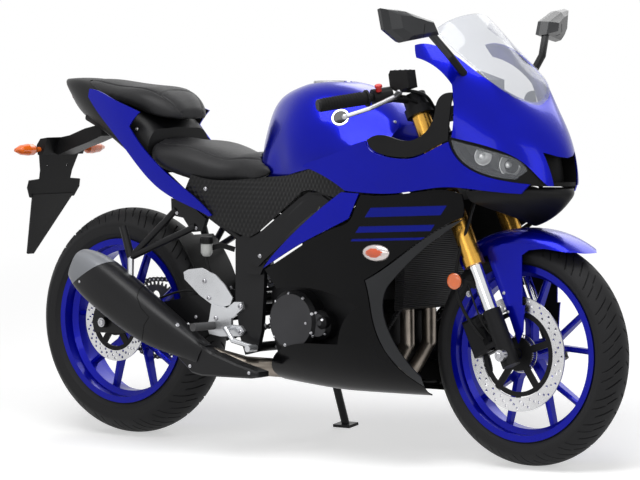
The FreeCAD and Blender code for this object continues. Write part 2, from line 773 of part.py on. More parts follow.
FENDER_CLEARANCE = 26.0
FENDER_WALL = 3.5
FENDER_HALF_WIDTH = 76.0
FENDER_SKIRT = 56.0
FENDER_FROM_ANGLE = 38.0
FENDER_TO_ANGLE = -38.0
FLAP_INNER = 78.0
FENDER_LUG_HEIGHTS = (70.0, 108.0)
FENDER_LUG_RADIUS = 7.0
FENDER_TIP_SHARES = ((1700, 1586), (76, 62))
FENDER_EDGE_SHARES = ((1404, 548), (1426, 562), (1472, 567), (1552, 557), (1700, 540), (1700, 420),
                      (1404, 420))
FLAP_SHARES = ((1293, 545), (1330, 460), (1362, 395), (1393, 322), (1408, 352), (1412, 410),
               (1424, 480), (1448, 530), (1478, 566), (1420, 580), (1340, 575))


def fender_corners():
    """What lies ahead of the fender's pointed front edge, on each side."""
    far, tip = FENDER_TIP_SHARES[0]
    half, back = FENDER_TIP_SHARES[1]
    corners = []
    for side in (-1, 1):
        points = [at((tip, 0, 0)), at((tip - back, side * half, 0)), at((tip - back, side * far, 0)),
                  at((far, side * far, 0)), at((far, 0, 0))]
        corners.append(flat_outline(points).extrude(Z_AXIS * CUT_REACH))
    return corners


@kept
def build_front_fender():
    top = FRONT_TYRE_RADIUS + FENDER_CLEARANCE
    section_shares = ((0.0, 0.0), (0.45, 0.03), (0.78, 0.18), (0.95, 0.5), (1.0, 1.0))
    outer = []
    inner = []
    for y_share, drop_share in section_shares:
        outer.append(Vec(0, FENDER_HALF_WIDTH * y_share, top + FENDER_WALL - FENDER_SKIRT * drop_share))
        inner.append(Vec(0, (FENDER_HALF_WIDTH - FENDER_WALL) * y_share,
                         top - (FENDER_SKIRT - FENDER_WALL) * drop_share))

    def whole(half):
        return [Vec(0, -point.y, point.z) for point in reversed(half)] + half[1:]

    outer_edge = stretch_edge(whole(outer))
    inner_edge = stretch_edge(whole(inner))
    ends = [Part.LineSegment(whole(outer)[index], whole(inner)[index]).toShape() for index in (0, -1)]
    section = Part.Face(Part.Wire(Part.__sortEdges__([outer_edge, inner_edge] + ends)))
    section.rotate(CENTRE, Y_AXIS, FENDER_TO_ANGLE)
    sweep = FENDER_FROM_ANGLE - FENDER_TO_ANGLE
    shell = section.revolve(CENTRE, Y_AXIS, sweep).translated(FRONT_AXLE)
    pieces = [shell]
    for side in (-1, 1):
        flap = side_prism(closed(FLAP_SHARES), side * (FLAP_INNER - FENDER_WALL),
                          side * (FLAP_INNER))
        pieces.append(flap)
        for height in FENDER_LUG_HEIGHTS:
            pieces.append(bar(on_fork(height, 0, side * (FLAP_INNER - FENDER_WALL / 2)),
                              on_fork(height, 0, side * FORK_HALF), FENDER_LUG_RADIUS))
    fender = unite(pieces)
    cutters = [fork_lower(-FORK_HALF), fork_lower(FORK_HALF), build_fork_inners()]
    cutters.append(side_prism(closed(FENDER_EDGE_SHARES), -CUT_REACH, CUT_REACH))
    return largest(fender.cut(cutters + fender_corners()))


# Handlebars

BAR_SHARES = ((1086, 105, 940), (1036, 205, 952), (960, 336, 931))
GRIP_RADIUS = 17.0
GRIP_FLANGE_RADIUS = 22.0
GRIP_FLANGE = 5.5
BAR_RADIUS = 11.0
GRIP_FROM_SHARE = 0.2
SWITCH_RADIUS = 21.0
SWITCH_LENGTH = 51.0
SWITCH_BEFORE = 34.0
CUP_SHARES = ((1048, 1008), (1054, 1019), (1108, 1021), (1116, 976), (1074, 964), (1054, 972))
CUP_FROM = 144.0
CUP_TO = 180.0
CUP_NECK_SHARES = ((1060, 158, 946), (1078, 162, 980))
CUP_NECK_RADIUS = 8.0


def bar_points(side):
    return [at((x, side * y, z)) for x, y, z in BAR_SHARES]


@kept
def brake_cup():
    """The front brake's reservoir, on its neck over the right-hand bar."""
    low, high = [at((x, -y, z)) for x, y, z in CUP_NECK_SHARES]
    return unite([side_prism(closed(CUP_SHARES), -CUP_TO, -CUP_FROM), bar(low, high, CUP_NECK_RADIUS)])


def handlebar(side):
    """A clip-on bar with its clamp, switch housing and grip."""
    inner, knee, tip = bar_points(side)
    clamp_low = on_fork(UPPER_CLAMP_FROM + UPPER_CLAMP_THICKNESS, 0, side * FORK_HALF)
    clamp_high = on_fork(FORK_OUTER_TO + FORK_CAP_HEIGHT * 2, 0, side * FORK_HALF)
    clamp = bar(clamp_low, clamp_high, FORK_OUTER_RADIUS + CLAMP_WALL / 2)
    along = tip.sub(knee)
    length = along.Length
    along.normalize()
    start = knee + along * (length * GRIP_FROM_SHARE)
    housing_start = knee - along * SWITCH_BEFORE
    housing = bar(housing_start, housing_start + along * SWITCH_LENGTH, SWITCH_RADIUS)
    pieces = [clamp, bar(inner, knee, BAR_RADIUS), bar(knee, tip, BAR_RADIUS), housing,
              bar(start, tip + along * BAR_RADIUS, GRIP_RADIUS),
              bar(start, start + along * GRIP_FLANGE, GRIP_FLANGE_RADIUS)]
    return unite(pieces)


@kept
def build_handlebars():
    both = Part.makeCompound([unite([handlebar(-1), brake_cup()]), handlebar(1)])
    return both.cut(build_fork_outers())


LEVER_SHARES = ((1082, 178, 962), (1098, 222, 950), (1075, 290, 922), (1040, 348, 902))
LEVER_RADIUS = 6.0
LEVER_BALL_RADIUS = 8.0
LEVER_ROOT_SHARE = 0.6


@kept
def build_hand_levers():
    levers = []
    for side in (-1, 1):
        points = [at((x, side * y, z)) for x, y, z in LEVER_SHARES]
        inner, knee, tip = bar_points(side)
        root = bar(points[0], inner + (knee - inner) * LEVER_ROOT_SHARE, LEVER_BALL_RADIUS)
        lever = unite([tube_run(points, LEVER_RADIUS), Part.makeSphere(LEVER_BALL_RADIUS, points[-1]),
                       Part.makeSphere(LEVER_BALL_RADIUS, points[0]), root])
        levers.append(largest(lever.cut([handlebar(side), brake_cup()])))
    return Part.makeCompound(levers)


# Frame

SPAR_UPPER_SHARES = ((558, 134, 542), (738, 140, 662), (900, 124, 768), (1078, 34, 828))
SPAR_LOWER_SHARES = ((582, 138, 505), (780, 150, 628), (950, 126, 704), (1112, 34, 766))
PLATE_SHARES = ((496, 560), (560, 590), (600, 540), (596, 430), (588, 320), (572, 262), (530, 252),
                (512, 300), (496, 400))
SUBFRAME_RAIL_SHARES = ((510, 128, 560), (300, 118, 668), (60, 84, 812), (-120, 60, 880))
BEAM_SHARES = ((540, 470), (536, 536), (552, 562), (584, 580), (725, 677), (757, 695), (808, 694),
               (842, 678), (737, 598), (610, 506), (590, 470))
BEAM_RIDGE_SHARES = ((552, 500), (560, 526), (728, 656), (776, 688), (808, 688), (834, 674), (734, 600),
                     (610, 511), (588, 492))
BEAM_FROM = 139.0
BEAM_TO = 155.0
BEAM_RIDGE_TO = 161.0
CROSS_TUBE_SHARES = ((540, 0, 570), (548, 0, 272))
CROSS_TUBE_RADIUS = 13.0
HEAD_FROM = 486.0
HEAD_TO = 671.0
STAY_HALF_WIDTH = 17.0
STAY_FROM = 562.0
STAY_HEIGHT = 26.0
STAY_REACH = 150.0
STAY_BAR_HALF = 140.0
STAY_BAR_RADIUS = 9.0
STAY_ROD_RADIUS = 6.0
STAY_ROD_SHARES = ((1250, 190, 798), (1290, 178, 902), (1330, 150, 800), (1200, 194, 852),
                   (1302, 153, 691))
DUCT_ROD_SHARES = (1457, 0, 764)
DIAL_ROD_SHARES = (1214, 62, 975)
SPAR_ROD_SHARES = (((950, 126, 716), (960, 191, 745)), ((800, 148, 668), (800, 190, 604)),
                   ((1062, 50, 760), (1050, 190, 740)))
STAND_PIN_RADIUS = 8.0
STAND_PIN_HEAD = 13.0
STAND_PIN_HEAD_LENGTH = 6.0


@kept
def frame_core():
    """Head tube, two spars a side, pivot plates, cross tubes and the stand's pin."""
    pieces = [bar(on_stem(HEAD_FROM), on_stem(HEAD_TO), HEAD_TUBE_RADIUS)]
    for side in (-1, 1):
        for table in (SPAR_UPPER_SHARES, SPAR_LOWER_SHARES):
            points = [at((x, side * y, z)) for x, y, z in table]
            head = points[-1]
            tip = Vec(head.x, 0, head.z)
            pieces.append(tube_run(points + [tip], FRAME_TUBE_RADIUS))
        plate = side_prism(closed(PLATE_SHARES), side * PIVOT_PLATE_INNER,
                           side * (PIVOT_PLATE_INNER + PIVOT_PLATE_THICKNESS))
        pieces.append(plate)
        pieces.append(side_prism(closed(BEAM_SHARES), side * BEAM_FROM, side * BEAM_TO))
        pieces.append(side_prism(closed(BEAM_RIDGE_SHARES), side * BEAM_FROM, side * BEAM_RIDGE_TO))
    for place in CROSS_TUBE_SHARES:
        spot = at(place)
        reach = Y_AXIS * (PIVOT_PLATE_INNER + OVERRUN)
        pieces.append(bar(spot - reach, spot + reach, CROSS_TUBE_RADIUS))
    root = stand_pivot() - Y_AXIS * (STAND_BOSS_HALF + OVERRUN)
    tip = stand_pivot() + Y_AXIS * (STAND_BOSS_HALF + FREE_GAP)
    pieces.append(bar(root, tip, STAND_PIN_RADIUS))
    pieces.append(bar(tip, tip + Y_AXIS * STAND_PIN_HEAD_LENGTH, STAND_PIN_HEAD))
    frame = unite(pieces)
    stem_bore = bar(on_stem(HEAD_FROM - OVERRUN), on_stem(HEAD_TO + OVERRUN), STEM_RADIUS + RUNNING_FIT)
    reach = PIVOT_PLATE_INNER + PIVOT_PLATE_THICKNESS + OVERRUN
    pivot_bore = bar(PIVOT - Y_AXIS * reach, PIVOT + Y_AXIS * reach, PIVOT_RADIUS)
    return frame.cut([stem_bore, pivot_bore])


def fairing_stay():
    """The neck ahead of the head tube, its cross bar, and the rods out to the panels."""
    corners = []
    for height, reach in ((STAY_FROM, HEAD_TUBE_RADIUS / 2), (STAY_FROM, STAY_REACH),
                          (STAY_FROM + STAY_HEIGHT, STAY_REACH),
                          (STAY_FROM + STAY_HEIGHT, HEAD_TUBE_RADIUS / 2)):
        corners.append(on_stem(height, reach, -STAY_HALF_WIDTH))
    neck = flat_outline(corners).extrude(Y_AXIS * (2 * STAY_HALF_WIDTH))
    middle = on_stem(STAY_FROM + STAY_HEIGHT / 2, STAY_REACH)
    pieces = [neck, bar(middle - Y_AXIS * STAY_BAR_HALF, middle + Y_AXIS * STAY_BAR_HALF,
                        STAY_BAR_RADIUS)]
    pieces.append(bar(middle, at(DUCT_ROD_SHARES), STAY_ROD_RADIUS))
    for side in (-1, 1):
        end = middle + Y_AXIS * (side * STAY_BAR_HALF)
        pieces.append(Part.makeSphere(STAY_BAR_RADIUS, end))
        for x, y, z in STAY_ROD_SHARES:
            pieces.append(bar(end, at((x, side * y, z)), STAY_ROD_RADIUS))
        x, y, z = DIAL_ROD_SHARES
        foot = Vec(middle.x, side * y * STEP_Y, middle.z)
        pieces.append(bar(foot, at((x, side * y, z)), STAY_ROD_RADIUS))
        for start, tip in SPAR_ROD_SHARES:
            pieces.append(bar(at((start[0], side * start[1], start[2])),
                              at((tip[0], side * tip[1], tip[2])), STAY_ROD_RADIUS))
    return pieces


@kept
def build_frame():
    """The frame with its fairing stay, the rods ending on the backs of the panels."""
    frame = frame_core()
    stem_room = bar(on_stem(HEAD_FROM), on_stem(HEAD_TO), STEM_RADIUS + RUNNING_FIT)
    panels = [build_upper_fairings(), build_nose_cowl(), build_headlamps(), build_cockpit_trim(),
              build_chin_cowl(), build_nose_liner()]
    return largest(unite([frame] + fairing_stay()).cut([stem_room] + panels))


@kept
def tail_rails():
    """The tail's rails, bolted to the frame."""
    pieces = []
    for side in (-1, 1):
        rail = [at((x, side * y, z)) for x, y, z in SUBFRAME_RAIL_SHARES]
        pieces.append(tube_run(rail, SUBFRAME_TUBE_RADIUS))
    for index in (1, 2, 3):
        x, y, z = SUBFRAME_RAIL_SHARES[index]
        pieces.append(bar(at((x, -y, z)), at((x, y, z)), SUBFRAME_BAR_RADIUS))
    return largest(unite(pieces).cut(frame_core()))


ARM_SHARES = ((560, 432), (572, 402), (560, 370), (420, 342), (60, 286), (-38, 284), (-46, 314),
              (-38, 344), (60, 348), (420, 420))
CROSS_SHARES = ((354, 400), (420, 404), (420, 352), (354, 344))
BOBBIN_AHEAD = 62.0
BOBBIN_DEPTH = 16.0
BOBBIN_THREAD_RADIUS = 3.0


@kept
def rear_axle():
    """The rear axle, with collars that space the wheel from the arms."""
    outer = SWINGARM_INNER + SWINGARM_THICKNESS
    pieces = [wheel_disc(AXLE_RADIUS, 0, -outer - AXLE_HEAD_LENGTH, outer + AXLE_HEAD_LENGTH, REAR_AXLE)]
    reach = AXLE_RADIUS + OVERRUN - FREE_GAP
    right_face = REAR_HUB_RIGHT + CARRIER_THICKNESS + FREE_GAP
    left_face = REAR_HUB_LEFT + SPROCKET_THICKNESS + FREE_GAP
    pieces.append(wheel_disc(reach, 0, -SWINGARM_INNER, -right_face, REAR_AXLE))
    pieces.append(wheel_disc(reach, 0, left_face, SWINGARM_INNER, REAR_AXLE))
    for side in (-1, 1):
        low, high = sorted((side * outer, side * (outer + AXLE_HEAD_LENGTH)))
        pieces.append(wheel_disc(AXLE_HEAD_RADIUS, 0, low, high, REAR_AXLE))
    return unite(pieces)


@kept
def build_swingarm():
    """Two arms, a cross beam ahead of the tyre, the pivot's shaft and the rear axle."""
    arms = [rear_axle()]
    outer = SWINGARM_INNER + SWINGARM_THICKNESS
    for side in (-1, 1):
        arms.append(side_prism(closed(ARM_SHARES), side * SWINGARM_INNER, side * outer))
    arms.append(side_prism(closed(CROSS_SHARES), -outer, outer))
    reach = PIVOT_PLATE_INNER + PIVOT_PLATE_THICKNESS
    arms.append(bar(PIVOT - Y_AXIS * reach, PIVOT + Y_AXIS * reach, PIVOT_RADIUS))
    arms.append(bar(PIVOT - Y_AXIS * outer, PIVOT + Y_AXIS * outer, PIVOT_TUBE_RADIUS))
    bobbins = []
    for side in (-1, 1):
        spot = REAR_AXLE + Vec(BOBBIN_AHEAD, side * (outer - BOBBIN_DEPTH), 0)
        bobbins.append(Part.makeCylinder(BOBBIN_THREAD_RADIUS, BOBBIN_DEPTH + OVERRUN, spot,
                                         Y_AXIS * side))
    return unite(arms).cut(bobbins)


SHOCK_LOW_SHARES = (400, 0, 396)
SHOCK_HIGH_SHARES = (526, 0, 566)
SHOCK_ROD_RADIUS = 18.0
SPRING_RADIUS = 28.0
SPRING_WIRE_RADIUS = 5.5
SPRING_TURNS = 7
SPRING_END_TURNS = 2.5


@kept
def build_rear_shock():
    """The single shock: a body, and the spring's coils as rings about it."""
    low = at(SHOCK_LOW_SHARES)
    high = at(SHOCK_HIGH_SHARES)
    along = high.sub(low)
    length = along.Length
    along.normalize()
    pieces = [bar(low, high, SHOCK_ROD_RADIUS)]
    for index in range(SPRING_TURNS):
        place = length * (index + SPRING_END_TURNS) / (SPRING_TURNS + 2 * SPRING_END_TURNS - 1)
        pieces.append(Part.makeTorus(SPRING_RADIUS - SPRING_WIRE_RADIUS, SPRING_WIRE_RADIUS,
                                     low + along * place, along))
    return largest(unite(pieces).cut([build_swingarm(), frame_core()]))


# Engine

CRANKCASE_SHARES = ((600, 430), (640, 470), (760, 470), (930, 420), (975, 380), (975, 270), (930, 220),
                    (690, 216), (625, 250), (604, 310))
CYLINDER_SHARES = ((770, 440), (850, 640), (985, 600), (935, 400))
CRANKCASE_HALF = 118.0
CYLINDER_HALF = 128.0
COVER_DEPTH = 48.0
ENGINE_BOLT_SHARES = ((592, 140, 452),)
ENGINE_BOLT_RADIUS = 9.0
ENGINE_ROD_SHARES = (((900, 110, 560), (905, 198, 575)), ((930, 100, 250), (930, 170, 235)),
                     ((1000, 100, 560), (1060, 195, 508)))
CLUTCH_SHARES = (706, 0, 352)
CLUTCH_RADIUS = 82.0
PUMP_SHARES = (790, 0, 344)
PUMP_RADIUS = 40.0
PUMP_DEPTH = 40.0
FILLER_SHARES = (812, 0, 352)
FILLER_RADIUS = 17.0
GENERATOR_SHARES = (860, 0, 340)
GENERATOR_RADIUS = 76.0
COVER_EDGE = 10.0


@kept
def engine_core():
    """The engine's closed mass: crankcase and the leaning cylinders."""
    case = side_prism(closed(CRANKCASE_SHARES), -CRANKCASE_HALF, CRANKCASE_HALF)
    top = side_prism(closed(CYLINDER_SHARES), -CYLINDER_HALF, CYLINDER_HALF)
    drive = bar(DRIVE_SHAFT, DRIVE_SHAFT + Y_AXIS * (CRANKCASE_HALF + CHAIN_WIDTH), PIVOT_RADIUS)
    space = wheel_disc(DRIVE_SPROCKET_RADIUS + CHAIN_DEPTH, 0, CHAIN_LINE - CHAIN_WIDTH,
                       CRANKCASE_HALF + CHAIN_WIDTH * 2, DRIVE_SHAFT)
    chain_room = build_chain_room()
    case = case.cut([space, chain_room])
    return unite([case, top, drive.common(space)])


@kept
def build_engine():
    """The engine with its covers, its mounting bolts and the rods that carry the fairings."""
    pieces = [engine_core()] + engine_covers()
    for x, y, z in ENGINE_BOLT_SHARES:
        pieces.append(bar(at((x, -y, z)), at((x, y, z)), ENGINE_BOLT_RADIUS))
    for side in (-1, 1):
        for start, tip in ENGINE_ROD_SHARES:
            pieces.append(bar(at((start[0], side * start[1], start[2])),
                              at((tip[0], side * tip[1], tip[2])), STAY_ROD_RADIUS))
    cutters = [frame_core(), build_lower_fairings(), build_fairing_blades(), build_upper_fairings(),
               build_swingarm(), build_chain_room()]
    return largest(unite(pieces).cut(cutters))


@kept
def build_chain_room():
    """The space that the chain runs through."""
    half = CHAIN_DEPTH
    outer = Part.Face(belt_outline(REAR_AXLE, SPROCKET_RADIUS + half, DRIVE_SHAFT,
                                   DRIVE_SPROCKET_RADIUS + half))
    return outer.extrude(Vec(0, CHAIN_WIDTH * 4, 0)).translated(Vec(0, CHAIN_LINE - CHAIN_WIDTH, 0))


def round_cover(centre, radius, depth, side):
    """A round cover with a bevelled rim, on one side of the engine."""
    start = Vec(centre.x, side * (CRANKCASE_HALF - OVERRUN), centre.z)
    drum = Part.makeCylinder(radius, depth + OVERRUN, start, Y_AXIS * side)
    flat_rims = [edge for edge in drum.Edges if edge.BoundBox.YLength < RUNNING_FIT]
    rim = max(flat_rims, key=lambda edge: side * edge.BoundBox.Center.y)
    return drum.makeChamfer(COVER_EDGE, [rim])


def engine_covers():
    """The clutch and generator covers, and the oil filler's cap."""
    return [round_cover(at(CLUTCH_SHARES), CLUTCH_RADIUS, COVER_DEPTH, -1),
            round_cover(at(PUMP_SHARES), PUMP_RADIUS, PUMP_DEPTH, -1),
            round_cover(at(FILLER_SHARES), FILLER_RADIUS, COVER_DEPTH + COVER_EDGE, -1),
            round_cover(at(GENERATOR_SHARES), GENERATOR_RADIUS, COVER_DEPTH, 1)]


RADIATOR_SHARES = ((1046, 620), (1076, 628), (1066, 400), (1036, 392))
RADIATOR_HALF = 140.0
RADIATOR_ROD_SHARES = (((970, 100, 570), (1060, 100, 590)), ((960, 90, 320), (1050, 110, 420)))


@kept
def build_radiator():
    """The radiator's core, on four rods from the engine."""
    pieces = [side_prism(closed(RADIATOR_SHARES), -RADIATOR_HALF, RADIATOR_HALF)]
    for side in (-1, 1):
        for start, tip in RADIATOR_ROD_SHARES:
            pieces.append(bar(at((start[0], side * start[1], start[2])),
                              at((tip[0], side * tip[1], tip[2])), STAY_ROD_RADIUS))
    return largest(unite(pieces).cut(build_engine()))


HEADER_SHARES = ((960, 540), (1004, 480), (1006, 300), (950, 216), (860, 205), (660, 208))
HEADER_SIDE_SHARES = (-46, 46)
HEADER_RADIUS = 19.0
COLLECTOR_SHARES = ((668, -16, 212), (590, -44, 212), (508, -118, 220), (404, -180, 252))
COLLECTOR_DRUM_RADIUS = 34.0
COLLECTOR_DRUM_LENGTH = 120.0
COLLECTOR_DRUM_SHARES = (650, 0, 216)
COLLECTOR_RADIUS = 25.0


@kept
def build_exhaust_pipe():
    """Two pipes down the front of the engine, and the collector behind them."""
    pieces = []
    for y in HEADER_SIDE_SHARES:
        path = [at((x, y, z)) for x, z in HEADER_SHARES]
        pieces.append(tube_run(path, HEADER_RADIUS))
    collector = [at(point) for point in COLLECTOR_SHARES]
    pieces.append(tube_run(collector, COLLECTOR_RADIUS, X_AXIS))
    drum = at(COLLECTOR_DRUM_SHARES)
    pieces.append(bar(drum, drum + X_AXIS * COLLECTOR_DRUM_LENGTH, COLLECTOR_DRUM_RADIUS))
    return largest(unite(pieces).cut([engine_core(), build_muffler()]))


MUFFLER_SHARES = ((418, -180, 246), (330, -184, 284), (206, -188, 342), (112, -190, 396), (18, -191, 450),
                  (-34, -191, 478))
MUFFLER_SIZES = ((30.0, 32.0), (38.0, 46.0), (48.0, 64.0), (51.0, 68.0), (49.0, 63.0), (36.0, 46.0))
SHROUD_SHARES = ((330, 318), (376, 306), (410, 282), (460, 257), (549, 231), (624, 214), (624, 200),
                 (598, 195), (425, 193), (389, 199), (340, 236))
SHROUD_FROM = 160.0
SHROUD_TO = 206.0
SHROUD_BEVEL = 5.0
OUTLET_RADIUS = 18.0
OUTLET_DEPTH = 30.0


def oval(centre, along, half_width, half_height):
    """An oval section square to a direction, its width across the bike."""
    height = along.cross(Y_AXIS)
    height.normalize()
    corner_share = 0.78
    shares = ((0, 1), (corner_share, corner_share), (1, 0), (corner_share, -corner_share), (0, -1),
              (-corner_share, -corner_share), (-1, 0), (-corner_share, corner_share))
    points = [centre + Y_AXIS * (half_width * a) + height * (half_height * b) for a, b in shares]
    curve = Part.BSplineCurve()
    curve.interpolate(points, PeriodicFlag=True)
    return Part.Wire(curve.toShape())


def shroud():
    """The cover over the pipe ahead of the silencer, its outer edges bevelled."""
    cover = side_prism(closed(SHROUD_SHARES), -SHROUD_FROM, -SHROUD_TO)
    edges = [edge for edge in cover.Edges if edge.BoundBox.YMax < RUNNING_FIT - SHROUD_TO]
    pipe = tube_run([at(place) for place in COLLECTOR_SHARES], COLLECTOR_RADIUS + FREE_GAP, X_AXIS)
    return largest(cover.makeChamfer(SHROUD_BEVEL, edges).cut([pipe, build_lower_fairings()]))


@kept
def build_muffler():
    """The silencer, from the collector to its steel end with the outlet."""
    places = [at(place) for place in MUFFLER_SHARES]
    along = places[-1].sub(places[0]).normalize()
    wires = [oval(place, along, *size) for place, size in zip(places, MUFFLER_SIZES)]
    body = upright(Part.makeLoft(wires, True, False))
    tip = places[-1]
    outlet = bar(tip - along * OUTLET_DEPTH, tip + along * OVERRUN, OUTLET_RADIUS)
    return largest(body.fuse(shroud()).cut(outlet))


# Tank and seats

TANK_SECTIONS_SHARES = (
    (488, ((0, 834), (8, 828), (14, 814), (18, 795), (21, 768), (21, 752), (20, 738))),
    (512, ((0, 893), (12, 889), (22, 873), (34, 843), (46, 803), (54, 766), (55, 734))),
    (545, ((0, 934), (20, 929), (42, 908), (62, 868), (80, 818), (93, 770), (92, 730))),
    (590, ((0, 957), (36, 953), (70, 932), (97, 886), (114, 832), (120, 780), (110, 728))),
    (640, ((0, 973), (50, 969), (94, 946), (122, 902), (138, 848), (137, 790), (124, 730))),
    (690, ((0, 985), (50, 982), (100, 962), (136, 918), (155, 862), (157, 800), (142, 742))),
    (780, ((0, 983), (58, 980), (108, 958), (143, 912), (163, 862), (168, 810), (158, 760))),
    (870, ((0, 958), (50, 954), (92, 934), (120, 896), (143, 858), (160, 820), (158, 778))),
    (945, ((0, 915), (40, 911), (72, 893), (95, 862), (116, 836), (134, 812), (130, 785))),
    (978, ((0, 872), (34, 869), (60, 858), (82, 842), (100, 826), (110, 810), (108, 790))),
)
CAP_SHARES = (712, 0, 978)
CAP_RADIUS = 50.0
CAP_HEIGHT = 9.0
CAP_EDGE = 2.0
CAP_LIFT = 0.3
DECK_RADIUS = 54.0
DECK_ROOM_RADIUS = 62.0
DECK_DEPTH = 30.0
KNUCKLE_RADIUS = 4.0
KNUCKLE_HALF = 7.0
EAR_THICKNESS = 6.0
CAP_PIN_RADIUS = 2.0


@kept
def tank_body():
    return body_loft(TANK_SECTIONS_SHARES)


def cap_hinge():
    """The middle of the lid's hinge, ahead of its edge."""
    return at(CAP_SHARES) + X_AXIS * DECK_RADIUS + Z_AXIS * (CAP_LIFT + CAP_HEIGHT / 2)


@kept
def build_fuel_tank():
    """The tank, seated on the frame, with the deck and the hinge's ears for its lid."""
    spot = at(CAP_SHARES)
    room = Part.makeCylinder(DECK_ROOM_RADIUS, DECK_DEPTH, spot, Z_AXIS)
    deck = Part.makeCylinder(DECK_RADIUS, DECK_DEPTH, spot - Z_AXIS * DECK_DEPTH, Z_AXIS)
    hinge = cap_hinge()
    ears = []
    for side in (-1, 1):
        inner = hinge + Y_AXIS * (side * (KNUCKLE_HALF + FREE_GAP))
        ears.append(bar(inner, inner + Y_AXIS * (side * EAR_THICKNESS), KNUCKLE_RADIUS))
        foot = hinge + Vec(-KNUCKLE_RADIUS, 0, -DECK_DEPTH)
        foot.y = inner.y if side > 0 else inner.y - EAR_THICKNESS
        ears.append(Part.makeBox(KNUCKLE_RADIUS * 2, EAR_THICKNESS, DECK_DEPTH, foot))
    reach = Y_AXIS * (KNUCKLE_HALF + FREE_GAP + EAR_THICKNESS)
    pin = bar(hinge - reach, hinge + reach, CAP_PIN_RADIUS)
    tank = unite([tank_body().cut(room), deck] + ears + [pin])
    return largest(tank.cut(frame_core()))


@kept
def build_fuel_cap():
    """The filler's lid, with the knuckle of its hinge."""
    lid = Part.makeCylinder(CAP_RADIUS, CAP_HEIGHT, at(CAP_SHARES) + Z_AXIS * CAP_LIFT, Z_AXIS)
    top = max(lid.Edges, key=lambda edge: edge.BoundBox.ZMin)
    lid = lid.makeChamfer(CAP_EDGE, [top])
    hinge = cap_hinge()
    half = Y_AXIS * KNUCKLE_HALF
    knuckle = bar(hinge - half, hinge + half, KNUCKLE_RADIUS)
    bore = bar(hinge - half * 2, hinge + half * 2, CAP_PIN_RADIUS + RUNNING_FIT)
    tongue = Part.makeBox(KNUCKLE_RADIUS * 2, KNUCKLE_HALF * 2, KNUCKLE_RADIUS,
                          hinge - half + Vec(-KNUCKLE_RADIUS * 2, 0, -KNUCKLE_RADIUS / 2))
    return unite([lid, knuckle, tongue]).cut(bore)


SEAT_SECTIONS_SHARES = (
    (168, ((0, 830), (50, 828), (92, 818), (116, 800), (120, 782), (112, 764))),
    (205, ((0, 822), (60, 820), (110, 809), (138, 788), (140, 764), (126, 748))),
    (290, ((0, 818), (62, 816), (116, 802), (143, 774), (142, 742), (128, 724))),
    (350, ((0, 806), (58, 803), (108, 788), (135, 760), (134, 728), (120, 710))),
    (420, ((0, 790), (50, 787), (94, 772), (118, 748), (119, 722), (106, 706))),
    (462, ((0, 792), (50, 789), (88, 774), (110, 750), (113, 728), (104, 712))),
    (520, ((0, 794), (56, 790), (96, 775), (119, 754), (125, 734), (116, 716))),
    (572, ((0, 784), (60, 781), (106, 771), (128, 756), (133, 740), (125, 728))),
    (600, ((0, 770), (56, 768), (98, 762), (120, 754), (126, 745), (120, 738))),
)


@kept
def build_rider_seat():
    """The rider's seat, whose front wraps the tank's tail."""
    whole = body_loft(SEAT_SECTIONS_SHARES)
    return largest(whole.cut([tank_body(), frame_core()]))


PILLION_SECTIONS_SHARES = (
    (-128, ((0, 985), (26, 984), (48, 980), (58, 973), (61, 965), (55, 955))),
    (-66, ((0, 983), (36, 982), (64, 977), (81, 967), (85, 955), (79, 943))),
    (0, ((0, 975), (44, 974), (78, 967), (97, 955), (101, 941), (93, 927))),
    (86, ((0, 968), (52, 967), (88, 960), (106, 946), (110, 927), (100, 909))),
    (148, ((0, 958), (50, 956), (83, 946), (101, 929), (105, 908), (96, 889))),
    (190, ((0, 931), (42, 929), (66, 920), (79, 907), (83, 893), (77, 880))),
    (214, ((0, 904), (24, 903), (40, 898), (50, 890), (52, 882), (48, 874))),
)


@kept
def build_pillion_seat():
    return body_loft(PILLION_SECTIONS_SHARES)


# Tail

TAIL_GRID_SHARES = (
    ((-262, 52, 990), (-180, 80, 985), (-70, 108, 972), (60, 134, 940), (180, 146, 900), (300, 150, 840),
     (430, 152, 780)),
    ((-264, 58, 960), (-180, 90, 948), (-70, 118, 925), (60, 142, 885), (180, 152, 830), (300, 154, 770),
     (430, 156, 715)),
    ((-258, 58, 930), (-180, 88, 905), (-70, 116, 870), (60, 140, 815), (180, 150, 755), (300, 154, 700),
     (430, 156, 655)),
    ((-246, 50, 900), (-180, 76, 862), (-70, 102, 812), (60, 126, 745), (180, 140, 682), (300, 146, 638),
     (430, 150, 600)),
)
TAIL_PANEL_SHARES = (
    ((-69, 959), (-20, 952), (40, 932), (100, 914), (150, 898)),
    ((150, 898), (132, 882), (112, 858)),
    ((112, 858), (173, 794), (282, 715), (360, 668), (416, 624)),
    ((416, 624), (405, 620)),
    ((405, 620), (373, 633), (282, 663), (209, 697), (136, 755), (62, 825), (-13, 887), (-69, 937)),
    ((-69, 937), (-69, 959)),
)
TAIL_INSIDE_SHARES = (100, 0, 820)


@kept
def tail_skin():
    return skin(body_grid(TAIL_GRID_SHARES, True), PANEL_WALL, at(TAIL_INSIDE_SHARES))


@kept
def build_tail_panels():
    """The painted panels on both sides of the tail."""
    panel = tail_skin().common(right_prism(TAIL_PANEL_SHARES))
    return both_sides(largest(panel))


UNDERTAIL_SECTIONS_SHARES = (
    (-246, ((0, 985), (8, 984), (14, 981), (16, 976), (13, 969), (7, 963))),
    (-214, ((0, 987), (20, 986), (36, 982), (43, 970), (36, 950), (20, 927))),
    (-150, ((0, 986), (36, 985), (62, 978), (74, 955), (68, 916), (44, 885))),
    (-76, ((0, 972), (48, 970), (80, 960), (98, 930), (96, 885), (60, 851))),
    (60, ((0, 925), (56, 922), (96, 912), (122, 870), (120, 815), (80, 780))),
    (164, ((0, 855), (56, 852), (100, 846), (126, 810), (124, 760), (84, 730))),
)


